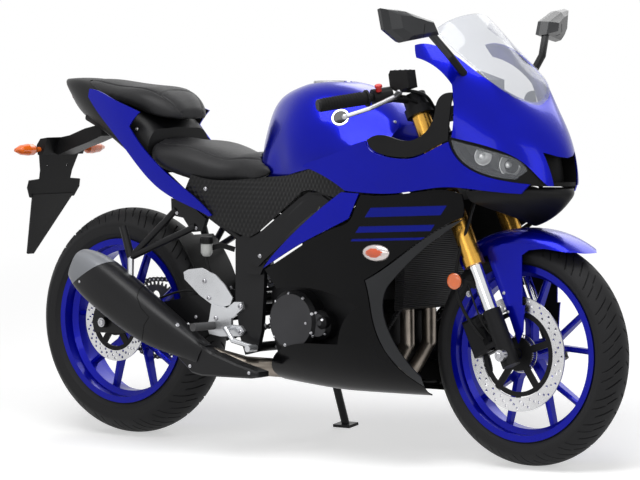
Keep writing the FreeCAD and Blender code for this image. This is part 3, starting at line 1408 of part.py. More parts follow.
@kept
def build_undertail():
    """The dark moulding that closes the tail, under and behind the pillion's seat."""
    whole = body_loft(UNDERTAIL_SECTIONS_SHARES)
    cutters = [build_pillion_seat(), build_rider_seat(), build_tail_panels(), build_subframe()]
    return largest(whole.cut(cutters))


SIDE_COVER_GRID_SHARES = (
    ((180, 130, 790), (300, 135, 770), (450, 128, 745), (560, 122, 745), (660, 136, 750), (760, 157, 768),
     (930, 170, 730)),
    ((180, 132, 740), (300, 138, 725), (450, 137, 705), (560, 134, 705), (660, 144, 712), (760, 161, 725),
     (930, 172, 700)),
    ((180, 133, 690), (300, 140, 680), (450, 144, 665), (560, 146, 660), (660, 151, 668), (760, 163, 680),
     (930, 174, 670)),
    ((180, 133, 640), (300, 141, 620), (450, 149, 590), (560, 153, 560), (660, 155, 600), (760, 163, 640),
     (930, 174, 640)),
)
SIDE_COVER_SHARES = (
    ((330, 732), (440, 718), (524, 724), (600, 731), (681, 738), (764, 756)),
    ((764, 756), (830, 738), (905, 706)),
    ((905, 706), (868, 684)),
    ((868, 684), (820, 693), (763, 701), (735, 694)),
    ((735, 694), (580, 583)),
    ((580, 583), (548, 568)),
    ((548, 568), (400, 624), (310, 692)),
    ((310, 692), (330, 732)),
)
SIDE_COVER_INSIDE_SHARES = (550, 0, 690)


@kept
def build_side_covers():
    """The embossed covers under the seat and beside the frame."""
    sheet = skin(body_grid(SIDE_COVER_GRID_SHARES, True), PANEL_WALL, at(SIDE_COVER_INSIDE_SHARES))
    panel = sheet.common(right_prism(SIDE_COVER_SHARES))
    return both_sides(largest(panel.cut([frame_core(), tank_body(), build_rider_seat()])))


TAIL_LAMP_SHARES = ((-240, 964), (-224, 966), (-206, 930), (-224, 930))
TAIL_LAMP_HALF = 13.0


@kept
def tail_lamp():
    lamp = side_prism(closed(TAIL_LAMP_SHARES), -TAIL_LAMP_HALF, TAIL_LAMP_HALF)
    return largest(lamp.cut(build_undertail()))


PLATE_ARM_SHARES = ((-96, 860), (-160, 846), (-218, 826), (-262, 818), (-284, 812), (-296, 796),
                    (-290, 778), (-262, 770), (-205, 790), (-152, 806), (-96, 826))
PLATE_ARM_HALF = 34.0
HOOD_SHARES = ((-256, 820), (-284, 816), (-298, 798), (-294, 770), (-276, 770))
HOOD_HALF = 84.0
BOARD_TOP_SHARES = (-285, 0, 812)
BOARD_LOW_SHARES = (-322, 0, 650)
TONGUE_LOW_SHARES = (-407, 0, 486)
BOARD_SHARES = ((82, 0.0), (82, 0.2), (64, 0.53), (62, 0.68), (104, 0.70), (106, 0.83), (90, 1.0))
TONGUE_SHARES = ((84, -0.06), (80, 0.0), (13, 1.0))
BOARD_THICKNESS = 5.0
PLATE_BOLT_RADIUS = 3.25
PLATE_BOLT_SPREAD = 40.0
PLATE_BOLT_DROP_SHARE = 0.45


def board_piece(high, low, shares):
    """A board between two heights, from half its outline, with its thickness behind it."""
    along = low.sub(high)
    back = along.cross(Y_AXIS)
    back.normalize()
    right = [high + along * drop - Y_AXIS * (half * STEP_Y) for half, drop in shares]
    left = [high + along * drop + Y_AXIS * (half * STEP_Y) for half, drop in reversed(shares)]
    return flat_outline(right + left).extrude(back * BOARD_THICKNESS)


@kept
def build_plate_holder():
    """The arm behind the tail, with the bare board for a number plate."""
    top = at(BOARD_TOP_SHARES)
    low = at(BOARD_LOW_SHARES)
    pieces = [side_prism(closed(PLATE_ARM_SHARES), -PLATE_ARM_HALF, PLATE_ARM_HALF),
              side_prism(closed(HOOD_SHARES), -HOOD_HALF, HOOD_HALF),
              board_piece(top, low, BOARD_SHARES),
              board_piece(low, at(TONGUE_LOW_SHARES), TONGUE_SHARES)]
    along = low.sub(top)
    back = along.cross(Y_AXIS)
    back.normalize()
    spot = top + along * PLATE_BOLT_DROP_SHARE
    bolts = []
    for side in (-1, 1):
        start = spot + Y_AXIS * (side * PLATE_BOLT_SPREAD) - back * OVERRUN
        bolts.append(bar(start, start + back * (BOARD_THICKNESS + OVERRUN * 2), PLATE_BOLT_RADIUS))
    return largest(unite(pieces).cut(bolts + [build_undertail()]))


REAR_LAMP_SHARES = (-287, 0, 786)
REAR_LAMP_RADIUS = 17.0
REAR_LAMP_LENGTH = 98.0
REAR_LAMP_PROFILE_SHARES = ((0, 0), (0.4, 0), (0.5, 0.14), (0.94, 0.3), (1, 0.5), (0.82, 0.78), (0.3, 1),
                            (0, 1))
FAIRING_LAMP_SHARES = (1026, 203.0, 546)
FAIRING_LAMP_SIZES = (44.0, 13.0, 22.0)


def egg(sizes, centre):
    """An egg-shaped solid from its three half sizes."""
    stretch = FreeCAD.Matrix()
    stretch.scale(*sizes)
    return Part.makeSphere(1.0).transformGeometry(stretch).translated(centre)


def rear_lamp(side):
    """A turn signal beside the hood: a turned pod on its own neck."""
    centre = at(REAR_LAMP_SHARES)
    points = []
    for radius, out in REAR_LAMP_PROFILE_SHARES:
        reach = HOOD_HALF * STEP_Y + out * REAR_LAMP_LENGTH
        points.append(centre + X_AXIS * (radius * REAR_LAMP_RADIUS) + Y_AXIS * (side * reach))
    return upright(flat_outline(points).revolve(centre, Y_AXIS, 360))


@kept
def build_lamps():
    """The tail lamp and the four turn signals."""
    lamps = [tail_lamp()]
    for side in (-1, 1):
        lamps.append(rear_lamp(side))
        x, y, z = FAIRING_LAMP_SHARES
        dome = egg(FAIRING_LAMP_SIZES, at((x, side * y, z)))
        lamps.append(max(dome.cut(build_lower_fairings()).Solids,
                         key=lambda solid: side * solid.CenterOfMass.y))
    return Part.makeCompound(lamps)


# Nose, screen and fairings

UPPER_GRID_SHARES = (
    ((740, 150, 930), (860, 152, 960), (980, 152, 1010), (1060, 151, 1060), (1130, 150, 1088),
     (1200, 145, 1076), (1258, 139, 1045), (1310, 128, 1008), (1352, 103, 978), (1374, 55, 952),
     (1386, 0, 938)),
    ((740, 165, 890), (860, 168, 920), (980, 170, 960), (1060, 170, 1005), (1130, 168, 1042),
     (1200, 172, 1016), (1262, 172, 975), (1325, 157, 930), (1385, 122, 893), (1428, 65, 888),
     (1443, 0, 885)),
    ((740, 178, 855), (860, 182, 875), (980, 185, 905), (1060, 186, 940), (1130, 186, 968),
     (1200, 188, 945), (1266, 187, 902), (1335, 170, 858), (1404, 128, 830), (1460, 68, 822),
     (1482, 0, 820)),
    ((740, 184, 820), (860, 190, 832), (980, 194, 850), (1060, 195, 872), (1130, 195, 895),
     (1200, 196, 878), (1270, 192, 838), (1342, 173, 802), (1412, 130, 780), (1473, 68, 771),
     (1495, 0, 770)),
    ((740, 186, 780), (860, 192, 785), (980, 196, 795), (1060, 197, 808), (1130, 198, 822),
     (1200, 197, 812), (1272, 193, 782), (1345, 174, 757), (1418, 131, 741), (1478, 66, 735),
     (1498, 0, 733)),
    ((740, 182, 690), (860, 188, 690), (980, 192, 690), (1060, 193, 690), (1130, 193, 692),
     (1200, 192, 695), (1272, 187, 695), (1345, 166, 694), (1410, 124, 692), (1468, 62, 692),
     (1488, 0, 692)),
)
UPPER_INSIDE_SHARES = (1100, 0, 780)
NOSE_SHARES = (
    ((1105, 1120), (1111, 1088), (1128, 1052)),
    ((1128, 1052), (1195, 1028), (1250, 984)),
    ((1250, 984), (1262, 940), (1264, 850)),
    ((1264, 850), (1320, 838), (1380, 819), (1430, 789), (1458, 756), (1478, 726)),
    ((1478, 726), (1530, 726)),
    ((1530, 726), (1530, 1120)),
    ((1530, 1120), (1105, 1120)),
)
LAMP_SHARES = (
    ((1265, 843), (1320, 829), (1380, 811), (1424, 790), (1440, 765)),
    ((1440, 765), (1420, 744)),
    ((1420, 744), (1380, 750), (1330, 768), (1290, 796), (1265, 843)),
)
UPPER_FAIRING_SHARES = (
    ((760, 765), (820, 785), (884, 803), (940, 824), (985, 836)),
    ((985, 836), (1000, 812), (1040, 798), (1090, 792), (1128, 792)),
    ((1128, 792), (1180, 806), (1225, 826), (1255, 838)),
    ((1255, 838), (1286, 790), (1328, 762), (1380, 744), (1418, 736), (1448, 731)),
    ((1448, 731), (1430, 707)),
    ((1430, 707), (1340, 716), (1251, 722), (1160, 712), (1070, 701), (990, 700), (911, 704)),
    ((911, 704), (820, 748), (760, 765)),
)
DUCT_SHARES = ((0, 797), (32, 801), (68, 812), (62, 780), (50, 720), (0, 720))
DUCT_ROOM_SHARES = ((0, 797), (32, 801), (68, 812), (62, 780), (50, 734), (0, 734))
DUCT_FROM_SHARE = 1380
DUCT_TO_SHARE = 1560
LINER_SHARES = (
    ((1252, 850), (1320, 843), (1384, 829), (1440, 824), (1520, 826)),
    ((1520, 826), (1520, 723)),
    ((1520, 723), (1450, 727), (1376, 736), (1320, 753), (1274, 786), (1252, 850)),
)
LAMP_ROOM_SHARES = (
    ((1274, 836), (1320, 822), (1378, 804), (1418, 785), (1430, 766)),
    ((1430, 766), (1416, 752)),
    ((1416, 752), (1382, 758), (1336, 775), (1298, 801), (1274, 836)),
)


@kept
def upper_skin():
    return skin(body_grid(UPPER_GRID_SHARES), PANEL_WALL, at(UPPER_INSIDE_SHARES))


def duct_prism(shares):
    """A prism through the nose, from half an outline drawn in front view."""
    start = at((DUCT_FROM_SHARE, 0, 0)).x
    reach = at((DUCT_TO_SHARE, 0, 0)).x - start
    half = [Vec(start, y * STEP_Y, z * STEP_Z) for y, z in shares]
    other = [Vec(start, -point.y, point.z) for point in reversed(half[1:-1])]
    return flat_outline(half + other).extrude(X_AXIS * reach)


def nose_layer(depth):
    """What lies within a depth behind the nose's surface."""
    return skin(body_grid(UPPER_GRID_SHARES), depth, at(UPPER_INSIDE_SHARES))


@kept
def build_nose_liner():
    """The dark liner behind the nose, hollow at the air duct and behind each lamp."""
    layer = nose_layer(HOUSING_DEPTH).cut(nose_layer(PANEL_WALL + PANEL_GAP))
    hollow = nose_layer(HOUSING_DEPTH - HOUSING_WALL)
    lamp_room = hollow.common(right_prism(LAMP_ROOM_SHARES))
    rooms = [hollow.common(duct_prism(DUCT_ROOM_SHARES)), lamp_room, mirrored(lamp_room)]
    return largest(layer.common(full_prism(LINER_SHARES)).cut(rooms))


def full_prism(stretches):
    """A prism right across the bike."""
    return side_prism(stretches, -CUT_REACH, CUT_REACH)


@kept
def build_nose_cowl():
    """The painted nose about the screen, the lamps and the air duct."""
    cowl = upper_skin().common(full_prism(NOSE_SHARES))
    return largest(cowl.cut(duct_prism(DUCT_SHARES)))


@kept
def build_headlamps():
    """The clear lenses of both headlamps."""
    lens = upper_skin().common(right_prism(LAMP_SHARES))
    return both_sides(largest(lens))


WEDGE_SHARES = (
    ((622, 491), (650, 518)),
    ((650, 518), (754, 600), (863, 676)),
    ((863, 676), (900, 700)),
    ((900, 700), (960, 698)),
    ((960, 698), (944, 660), (931, 632)),
    ((931, 632), (890, 614), (754, 556), (685, 522), (622, 491)),
)
LOWER_GRID_SHARES = (
    ((560, 168, 720), (700, 180, 720), (840, 187, 720), (980, 190, 720), (1100, 190, 720),
     (1200, 186, 720), (1310, 172, 720)),
    ((560, 172, 640), (700, 188, 640), (840, 197, 640), (980, 200, 640), (1100, 197, 640),
     (1200, 189, 640), (1310, 168, 640)),
    ((560, 172, 540), (700, 190, 540), (840, 200, 540), (980, 204, 540), (1100, 200, 540),
     (1200, 188, 540), (1310, 168, 540)),
    ((560, 166, 430), (700, 188, 430), (840, 198, 430), (980, 202, 430), (1100, 196, 430),
     (1200, 180, 430), (1310, 160, 430)),
    ((560, 158, 320), (700, 180, 320), (840, 190, 320), (980, 194, 320), (1100, 186, 320),
     (1200, 170, 320), (1310, 150, 320)),
    ((560, 132, 232), (700, 156, 232), (840, 168, 232), (980, 172, 232), (1100, 164, 232),
     (1200, 148, 232), (1310, 130, 232)),
    ((560, 92, 198), (700, 112, 190), (840, 124, 184), (980, 128, 184), (1100, 120, 184),
     (1200, 108, 186), (1310, 92, 192)),
    ((560, 40, 188), (700, 50, 180), (840, 56, 173), (980, 58, 173), (1100, 54, 174),
     (1200, 46, 177), (1310, 40, 182)),
)
LOWER_INSIDE_SHARES = (900, 0, 480)
LOWER_FAIRING_SHARES = (
    ((628, 487), (690, 516), (756, 550), (892, 608), (936, 628), (952, 662), (968, 696)),
    ((968, 696), (1070, 697), (1160, 708), (1232, 714), (1284, 704)),
    ((1284, 704), (1290, 672), (1286, 644)),
    ((1286, 644), (1210, 610), (1083, 530), (986, 474)),
    ((986, 474), (998, 430), (1008, 369), (1032, 305), (1080, 243), (1140, 190)),
    ((1140, 190), (1130, 140)),
    ((1130, 140), (620, 140)),
    ((620, 140), (612, 214)),
    ((612, 214), (650, 262), (760, 296), (886, 300)),
    ((886, 300), (935, 386), (962, 402)),
    ((962, 402), (868, 434), (672, 438)),
    ((672, 438), (628, 487)),
)
BELLY_NOTCH_SHARES = ((1078, -1), (1078, 52), (1150, 104), (1500, 104), (1500, -1))
BLADE_SHARES = (
    ((1288, 640), (1212, 607), (1085, 526), (990, 473)),
    ((990, 473), (1002, 430), (1012, 369), (1036, 306), (1084, 244), (1146, 188)),
    ((1146, 188), (1160, 188)),
    ((1160, 188), (1123, 243), (1064, 331), (1044, 409), (1063, 462)),
    ((1063, 462), (1129, 524), (1262, 622)),
    ((1262, 622), (1288, 640)),
)


@kept
def wheel_room():
    """The space that the front tyre sweeps toward the right, with its clearance."""
    grown = tyre_space(FRONT_TYRE_RADIUS + TYRE_CLEARANCE, FRONT_TYRE_WIDTH + 2 * TYRE_CLEARANCE,
                       FRONT_CROWN_DROP, FRONT_BEAD_HALF + TYRE_CLEARANCE, FRONT_AXLE)
    disc = wheel_disc(RIM_FLANGE_RADIUS, 0, -FRONT_TYRE_WIDTH / 2, FRONT_TYRE_WIDTH / 2, FRONT_AXLE)
    whole = grown.fuse(disc)
    turns = []
    for step in range(ROOM_STEPS + 1):
        turned = whole.copy()
        turned.rotate(on_stem(0), FORK_UP, STEER_LOCK * step / ROOM_STEPS)
        turns.append(turned)
    return turns


@kept
def lower_skin():
    """The right-hand side's skin beside the engine, open where the front wheel swings."""
    sheet = skin(body_grid(LOWER_GRID_SHARES, True), PANEL_WALL, at(LOWER_INSIDE_SHARES))
    return largest(sheet.cut(wheel_room()))


@kept
def build_upper_fairings():
    """The painted panels under the headlamps, and the wedges that point at the pivot."""
    panel = largest(upper_skin().common(right_prism(UPPER_FAIRING_SHARES)))
    wedge = largest(lower_skin().common(right_prism(WEDGE_SHARES)))
    return Part.makeCompound([panel, wedge, mirrored(panel), mirrored(wedge)])


def belly_notch():
    """The space ahead of the belly, between the two lower corners."""
    points = [at((x, -y, 0)) for x, y in BELLY_NOTCH_SHARES]
    return flat_outline(points).extrude(Z_AXIS * CUT_REACH)


@kept
def build_lower_fairings():
    """The dark panels beside the engine, down to the belly."""
    panel = lower_skin().common(right_prism(LOWER_FAIRING_SHARES)).cut(belly_notch())
    return both_sides(largest(panel))


@kept
def build_fairing_blades():
    """The grey bands along the front edge of the lower fairings."""
    blade = lower_skin().common(right_prism(BLADE_SHARES))
    return both_sides(largest(blade))


SCREEN_GRID_SHARES = (
    ((1324, 124, 1000), (1362, 97, 968), (1386, 52, 940), (1400, 0, 926)),
    ((1266, 131, 1046), (1306, 99, 1030), (1332, 54, 1013), (1342, 0, 1006)),
    ((1216, 130, 1080), (1257, 97, 1075), (1284, 51, 1068), (1292, 0, 1064)),
    ((1176, 122, 1108), (1213, 91, 1118), (1237, 47, 1122), (1245, 0, 1122)),
    ((1152, 106, 1130), (1177, 82, 1150), (1193, 44, 1162), (1199, 0, 1166)),
)
SCREEN_INSIDE_SHARES = (1150, 0, 980)


@kept
def build_windscreen():
    sheet = skin(body_grid(SCREEN_GRID_SHARES), SCREEN_WALL, at(SCREEN_INSIDE_SHARES))
    return largest(sheet.cut(build_nose_cowl()))


TRIM_SHARES = (
    ((988, 838), (1004, 816), (1042, 802), (1090, 796), (1128, 796)),
    ((1128, 796), (1180, 810), (1225, 830), (1254, 842)),
    ((1254, 842), (1256, 964)),
    ((1256, 964), (1226, 957), (1210, 918)),
    ((1210, 918), (1190, 868), (1120, 838), (1056, 850), (988, 838)),
)


@kept
def build_cockpit_trim():
    """The dark inner edges between the nose and the upper fairings, and the dials' box."""
    panel = largest(upper_skin().common(right_prism(TRIM_SHARES)))
    return Part.makeCompound([panel, mirrored(panel), instrument()])


CHIN_GRID_SHARES = (
    ((1292, 164, 712), (1340, 149, 714), (1404, 119, 716), (1460, 66, 718), (1486, 29, 718),
     (1495, 0, 718)),
    ((1292, 161, 699), (1342, 145, 700), (1408, 115, 702), (1466, 62, 704), (1492, 27, 704),
     (1501, 0, 704)),
    ((1296, 153, 687), (1343, 134, 686), (1405, 102, 686), (1460, 54, 687), (1485, 23, 688),
     (1494, 0, 688)),
    ((1304, 138, 678), (1345, 116, 674), (1398, 84, 669), (1445, 43, 667), (1466, 18, 666),
     (1474, 0, 665)),
    ((1314, 118, 670), (1347, 94, 660), (1385, 64, 650), (1415, 32, 643), (1429, 13, 639),
     (1436, 0, 638)),
    ((1324, 98, 663), (1350, 74, 651), (1371, 48, 638), (1385, 24, 627), (1390, 10, 621),
     (1392, 0, 620)),
)
CHIN_INSIDE_SHARES = (1300, 0, 740)


@kept
def build_chin_cowl():
    """The dark beak under the nose."""
    return skin(body_grid(CHIN_GRID_SHARES), PANEL_WALL, at(CHIN_INSIDE_SHARES))


MIRROR_BASE_SHARES = (1270, 146, 1010)
MIRROR_NECK_SHARES = (1264, 196, 1056)
MIRROR_FOOT_SHARES = (1236, 252, 1122)
MIRROR_OUTLINE_SHARES = ((221, 1109), (334, 1091), (381, 1124), (393, 1179), (334, 1174), (239, 1146))
MIRROR_MIDDLE_SHARES = (1216, 308, 1136)
MIRROR_SWEEP_SHARE = 0.24
MIRROR_LAYER_SHARES = ((-18, 0.93), (-4, 1.0), (16, 0.9), (34, 0.58))
MIRROR_STALK_RADIUS = 10.0


def mirror_pod(side):
    """A mirror's housing: flat sides between outlines that shrink toward the front."""
    middle_x, middle_y, middle_z = MIRROR_MIDDLE_SHARES
    wires = []
    for ahead, size in MIRROR_LAYER_SHARES:
        points = []
        for y, z in MIRROR_OUTLINE_SHARES:
            back = (y - middle_y) * MIRROR_SWEEP_SHARE
            points.append(at((middle_x - back + ahead, side * (middle_y + (y - middle_y) * size),
                              middle_z + (z - middle_z) * size)))
        wires.append(Part.makePolygon(points + [points[0]]))
    return upright(Part.makeLoft(wires, True, True))


@kept
def build_mirrors():
    mirrors = []
    for side in (-1, 1):
        stalk = [at((x, side * y, z)) for x, y, z in
                 (MIRROR_BASE_SHARES, MIRROR_NECK_SHARES, MIRROR_FOOT_SHARES)]
        pieces = [tube_run(stalk, MIRROR_STALK_RADIUS), mirror_pod(side)]
        mirrors.append(largest(unite(pieces).cut(build_nose_cowl())))
    return Part.makeCompound(mirrors)


INSTRUMENT_SHARES = ((1164, 1016), (1240, 994), (1240, 944), (1200, 966))
INSTRUMENT_HALF = 64.0


@kept
def instrument():
    """The dials' box behind the screen."""
    return side_prism(closed(INSTRUMENT_SHARES), -INSTRUMENT_HALF, INSTRUMENT_HALF)


# Foot controls

HEEL_SHARES = ((313, 466), (330, 474), (378, 480), (428, 463), (462, 436), (489, 404), (480, 384),
               (453, 377), (418, 381), (371, 406), (317, 447))
BRACKET_SHARES = ((418, 384), (474, 376), (499, 393), (524, 394), (529, 376), (488, 348), (488, 331),
                  (521, 330), (534, 316), (521, 302), (450, 298), (410, 303), (402, 322), (410, 344))
BRACKET_THICKNESS = 9.0
HEEL_THICKNESS = 4.0
PEG_SHARES = (424, 0, 326)
PEG_RADIUS = 11.0
PEG_LENGTH = 92.0
PEDAL_SHARES = ((486, 176, 322), (520, 186, 292), (600, 186, 276))
PEDAL_RADIUS = 6.5
TOE_RADIUS = 9.0
TOE_LENGTH = 34.0


@kept
def build_footrests():
    """Brackets with their pegs, heel guards and the foot levers."""
    face = PIVOT_PLATE_INNER + PIVOT_PLATE_THICKNESS
    rests = []
    for side in (-1, 1):
        bracket = side_prism(closed(BRACKET_SHARES), side * face, side * (face + BRACKET_THICKNESS))
        guard = side_prism(closed(HEEL_SHARES), side * face, side * (face + HEEL_THICKNESS))
        peg_at = at(PEG_SHARES) + Y_AXIS * (side * face)
        peg = bar(peg_at, peg_at + Y_AXIS * (side * PEG_LENGTH), PEG_RADIUS)
        pedal = [at((x, side * y, z)) for x, y, z in PEDAL_SHARES]
        inward = Vec(pedal[0].x, side * face, pedal[0].z)
        toe = bar(pedal[-1], pedal[-1] + Y_AXIS * (side * TOE_LENGTH), TOE_RADIUS)
        pieces = [bracket, guard, peg, tube_run([inward] + pedal, PEDAL_RADIUS), toe]
        rests.append(unite(pieces))
    return Part.makeCompound(rests)


PILLION_TOP_SHARES = (262, 122, 634)
PILLION_LOW_SHARES = (334, 124, 590)
PILLION_PLATE_SHARES = ((246, 664), (300, 660), (372, 612), (358, 578), (322, 574), (290, 612),
                        (248, 618))
PILLION_PLATE_FROM = 112.0
PILLION_PLATE_TO = 126.0
PILLION_PEG_SHARES = (132, 164, 500)
PILLION_STRUT_RADIUS = 9.0
MUFFLER_STRAP_SHARES = (148, -184, 400)
PILLION_PEG_LENGTH = 84.0


@kept
def build_subframe():
    """The tail's rails, with the V of struts that carries each folded passenger peg."""
    pieces = [tail_rails()]
    for side in (-1, 1):
        top, low, foot = [at((x, side * y, z)) for x, y, z in
                          (PILLION_TOP_SHARES, PILLION_LOW_SHARES, PILLION_PEG_SHARES)]
        peg = bar(foot, foot + Vec(-PILLION_PEG_LENGTH / 3, 0, PILLION_PEG_LENGTH), PEG_RADIUS)
        plate = side_prism(closed(PILLION_PLATE_SHARES), side * PILLION_PLATE_FROM,
                           side * PILLION_PLATE_TO)
        pieces += [tube_run([top, foot, low], PILLION_STRUT_RADIUS), peg, plate]
    pieces.append(bar(at(mirror_place(PILLION_PEG_SHARES)), at(MUFFLER_STRAP_SHARES),
                      PILLION_STRUT_RADIUS))
    return largest(unite(pieces).cut([frame_core(), build_muffler(), build_tail_panels()]))


def mirror_place(steps):
    """The same grid place on the other side of the bike."""
    return (steps[0], -steps[1], steps[2])


HUGGER_WALL = 4.0
HUGGER_HALF_WIDTH = 78.0
HUGGER_CLEARANCE = 12.0
HUGGER_FROM_ANGLE = 42.0
HUGGER_TO_ANGLE = 79.0
HUGGER_TAB_ANGLE = 77.0
HUGGER_TAB_SHARE = 0.94
HUGGER_TAB_RADIUS = 5.0


@kept
def build_chain_guard():
    """The arched guard over the front of the rear tyre."""
    low = REAR_TYRE_RADIUS + HUGGER_CLEARANCE
    section = [(-HUGGER_HALF_WIDTH, low), (HUGGER_HALF_WIDTH, low),
               (HUGGER_HALF_WIDTH, low + HUGGER_WALL), (-HUGGER_HALF_WIDTH, low + HUGGER_WALL)]
    face = flat_outline([Vec(0, y, r) for y, r in section])
    face.rotate(CENTRE, Y_AXIS, HUGGER_FROM_ANGLE)
    shell = face.revolve(CENTRE, Y_AXIS, HUGGER_TO_ANGLE - HUGGER_FROM_ANGLE).translated(REAR_AXLE)
    pieces = [shell]
    for side in (-1, 1):
        angle = math.radians(HUGGER_TAB_ANGLE)
        reach = low + HUGGER_WALL / 2
        spot = REAR_AXLE + Vec(reach * math.sin(angle), 0, reach * math.cos(angle))
        pieces.append(bar(spot + Y_AXIS * (side * HUGGER_HALF_WIDTH * HUGGER_TAB_SHARE),
                          spot + Y_AXIS * (side * (SWINGARM_INNER + OVERRUN)), HUGGER_TAB_RADIUS))
    return largest(unite(pieces).cut(build_swingarm()))


# Side stand

STAND_PIVOT_SHARES = (556, 0, 274)
STAND_BOSS_HALF = 11.0
STAND_BOSS_RADIUS = 15.0
STAND_FOOT_AHEAD = 24.0
STAND_FOOT_OUT = 222.0
STAND_FOOT_LENGTH = 58.0
STAND_FOOT_WIDTH = 40.0


def stand_pivot():
    """The middle of the stand's boss, beside the left pivot plate."""
    face = PIVOT_PLATE_INNER + PIVOT_PLATE_THICKNESS
    return at(STAND_PIVOT_SHARES) + Y_AXIS * (face + FREE_GAP + STAND_BOSS_HALF)


@kept
def build_side_stand():
    """The leg, its pivot boss and its foot, flat on the floor that the leaned bike stands on."""
    lean = math.radians(STAND_LEAN)
    pivot = stand_pivot()
    floor_up = Vec(0, -math.sin(lean), math.cos(lean))
    floor_out = Vec(0, math.cos(lean), math.sin(lean))
    foot = Vec(pivot.x + STAND_FOOT_AHEAD, 0, 0) + floor_out * STAND_FOOT_OUT - floor_up * FLOOR_DROP
    raised = foot + floor_up * STAND_FOOT_THICKNESS
    half = Y_AXIS * STAND_BOSS_HALF
    boss = bar(pivot - half, pivot + half, STAND_BOSS_RADIUS)
    leg = bar(pivot, raised, STAND_LEG_RADIUS)
    corners = []
    for ahead, out in ((-1, -1), (1, -1), (1, 1), (-1, 1)):
        corners.append(foot + X_AXIS * (ahead * STAND_FOOT_LENGTH / 2)
                       + floor_out * (out * STAND_FOOT_WIDTH / 2))
    plate = flat_outline(corners).extrude(floor_up * STAND_FOOT_THICKNESS)
    bore = bar(pivot - half * 2, pivot + half * 2, STAND_PIN_RADIUS + RUNNING_FIT)
    head_room = bar(pivot + half, pivot + half * 3, STAND_PIN_HEAD + FREE_GAP)
    inner_room = bar(pivot - half, pivot - half * 3, STAND_BOSS_RADIUS * 2)
    return unite([boss, leg, plate]).cut([bore, head_room, inner_room])


# All pieces, by the name of their file

PIECES = {
    "frame": build_frame,
    "subframe": build_subframe,
    "swingarm": build_swingarm,
    "rear_shock": build_rear_shock,
    "engine": build_engine,
    "radiator": build_radiator,
    "exhaust_pipe": build_exhaust_pipe,
    "muffler": build_muffler,
    "chain": build_chain,
    "chain_guard": build_chain_guard,
    "fuel_tank": build_fuel_tank,
    "fuel_cap": build_fuel_cap,
    "rider_seat": build_rider_seat,
    "pillion_seat": build_pillion_seat,
    "tail_panels": build_tail_panels,
    "undertail": build_undertail,
    "side_covers": build_side_covers,
    "nose_cowl": build_nose_cowl,
    "windscreen": build_windscreen,
    "headlamps": build_headlamps,
    "chin_cowl": build_chin_cowl,
    "nose_liner": build_nose_liner,
    "mirrors": build_mirrors,
    "cockpit_trim": build_cockpit_trim,
    "upper_fairings": build_upper_fairings,
    "lower_fairings": build_lower_fairings,
    "fairing_blades": build_fairing_blades,
    "plate_holder": build_plate_holder,
    "lamps": build_lamps,
    "footrests": build_footrests,
    "side_stand": build_side_stand,
    "fork_clamps": build_fork_clamps,
    "fork_outers": build_fork_outers,
    "fork_inners": build_fork_inners,
    "fork_lowers": build_fork_lowers,
    "front_fender": build_front_fender,
    "handlebars": build_handlebars,
    "hand_levers": build_hand_levers,
    "front_tyre": build_front_tyre,
    "front_rim": build_front_rim,
    "front_disc": build_front_disc,
    "rear_tyre": build_rear_tyre,
    "rear_rim": build_rear_rim,
    "rear_disc": build_rear_disc,
    "rear_sprocket": build_rear_sprocket,
}


def leaned(shape):
    """The shape as the bike stands on its side stand."""
    turned = shape.copy()
    turned.rotate(CENTRE, X_AXIS, -STAND_LEAN)
    return turned


def build_all():
    """Every piece in its place, leaned and set on the floor with the box's middle at the origin."""
    built = {}
    for name, make in PIECES.items():
        built[name] = leaned(make())
    box = FreeCAD.BoundBox()
    for shape in built.values():
        box.add(shape.optimalBoundingBox(False, False))
    shift = Vec(-(box.XMin + box.XMax) / 2, -(box.YMin + box.YMax) / 2, -box.ZMin)
    return {name: shape.translated(shift) for name, shape in built.items()}, shift


def main():
    os.makedirs("parts", exist_ok=True)
    shapes, shift = build_all()
    for name, shape in shapes.items():
        shape.exportStep("parts/" + name + ".step")
    print("shift", shift)


main()
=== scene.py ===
import json
import math

import bpy
from mathutils import Matrix, Vector
from mathutils.bvhtree import BVHTree


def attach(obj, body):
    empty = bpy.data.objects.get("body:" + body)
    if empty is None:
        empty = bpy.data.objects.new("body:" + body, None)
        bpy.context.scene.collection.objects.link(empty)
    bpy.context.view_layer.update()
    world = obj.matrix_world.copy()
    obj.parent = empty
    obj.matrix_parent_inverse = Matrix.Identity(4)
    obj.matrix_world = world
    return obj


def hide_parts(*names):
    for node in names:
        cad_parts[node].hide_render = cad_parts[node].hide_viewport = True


# The looks of the sport bike. Places are given as on the upright bike, in millimetres:
# X forward from the rear axle, Y to the rider's left, Z up from the road.

STAND_LEAN = math.radians(9.5)
MILLIMETRE = 0.001
RIGHT = -1
LEFT = 1

FRONT_TYRE_RADIUS = 293.0
FRONT_TYRE_WIDTH = 110.0
FRONT_CROWN_DROP = 36.0
FRONT_BEAD_HALF = 42.0
REAR_TYRE_RADIUS = 314.0
REAR_TYRE_WIDTH = 140.0
REAR_CROWN_DROP = 42.0
REAR_BEAD_HALF = 56.0
RIM_FLANGE_RADIUS = 229.0
RIM_SEAT_RADIUS = 218.0
FRONT_AXLE = (1380.0, 0.0, 292.7)
REAR_AXLE = (0.0, 0.0, 314.0)
CHAIN_PITCH = 15.875
CHAIN_LINE = 88.0
SPROCKET_TEETH = 43
DRIVE_TEETH = 14
DRIVE_SHAFT = (634.0, 404.0)

# The camera, as found from the photograph with the bike upright
CAMERA_PLACE = (7682.3, -8467.5, 1141.6)
CAMERA_FORWARD = (-0.63696761, 0.76907366, -0.05289576)
CAMERA_RIGHT = (0.77015184, 0.63786059, 0.0)
CAMERA_UP = (-0.03374012, 0.04073776, 0.99860004)
FOCAL_PIXELS = 4098.0
PICTURE_WIDTH = 640.0
PICTURE_HEIGHT = 480.0
SENSOR_WIDTH = 36.0
OUTSIDE = 700.0

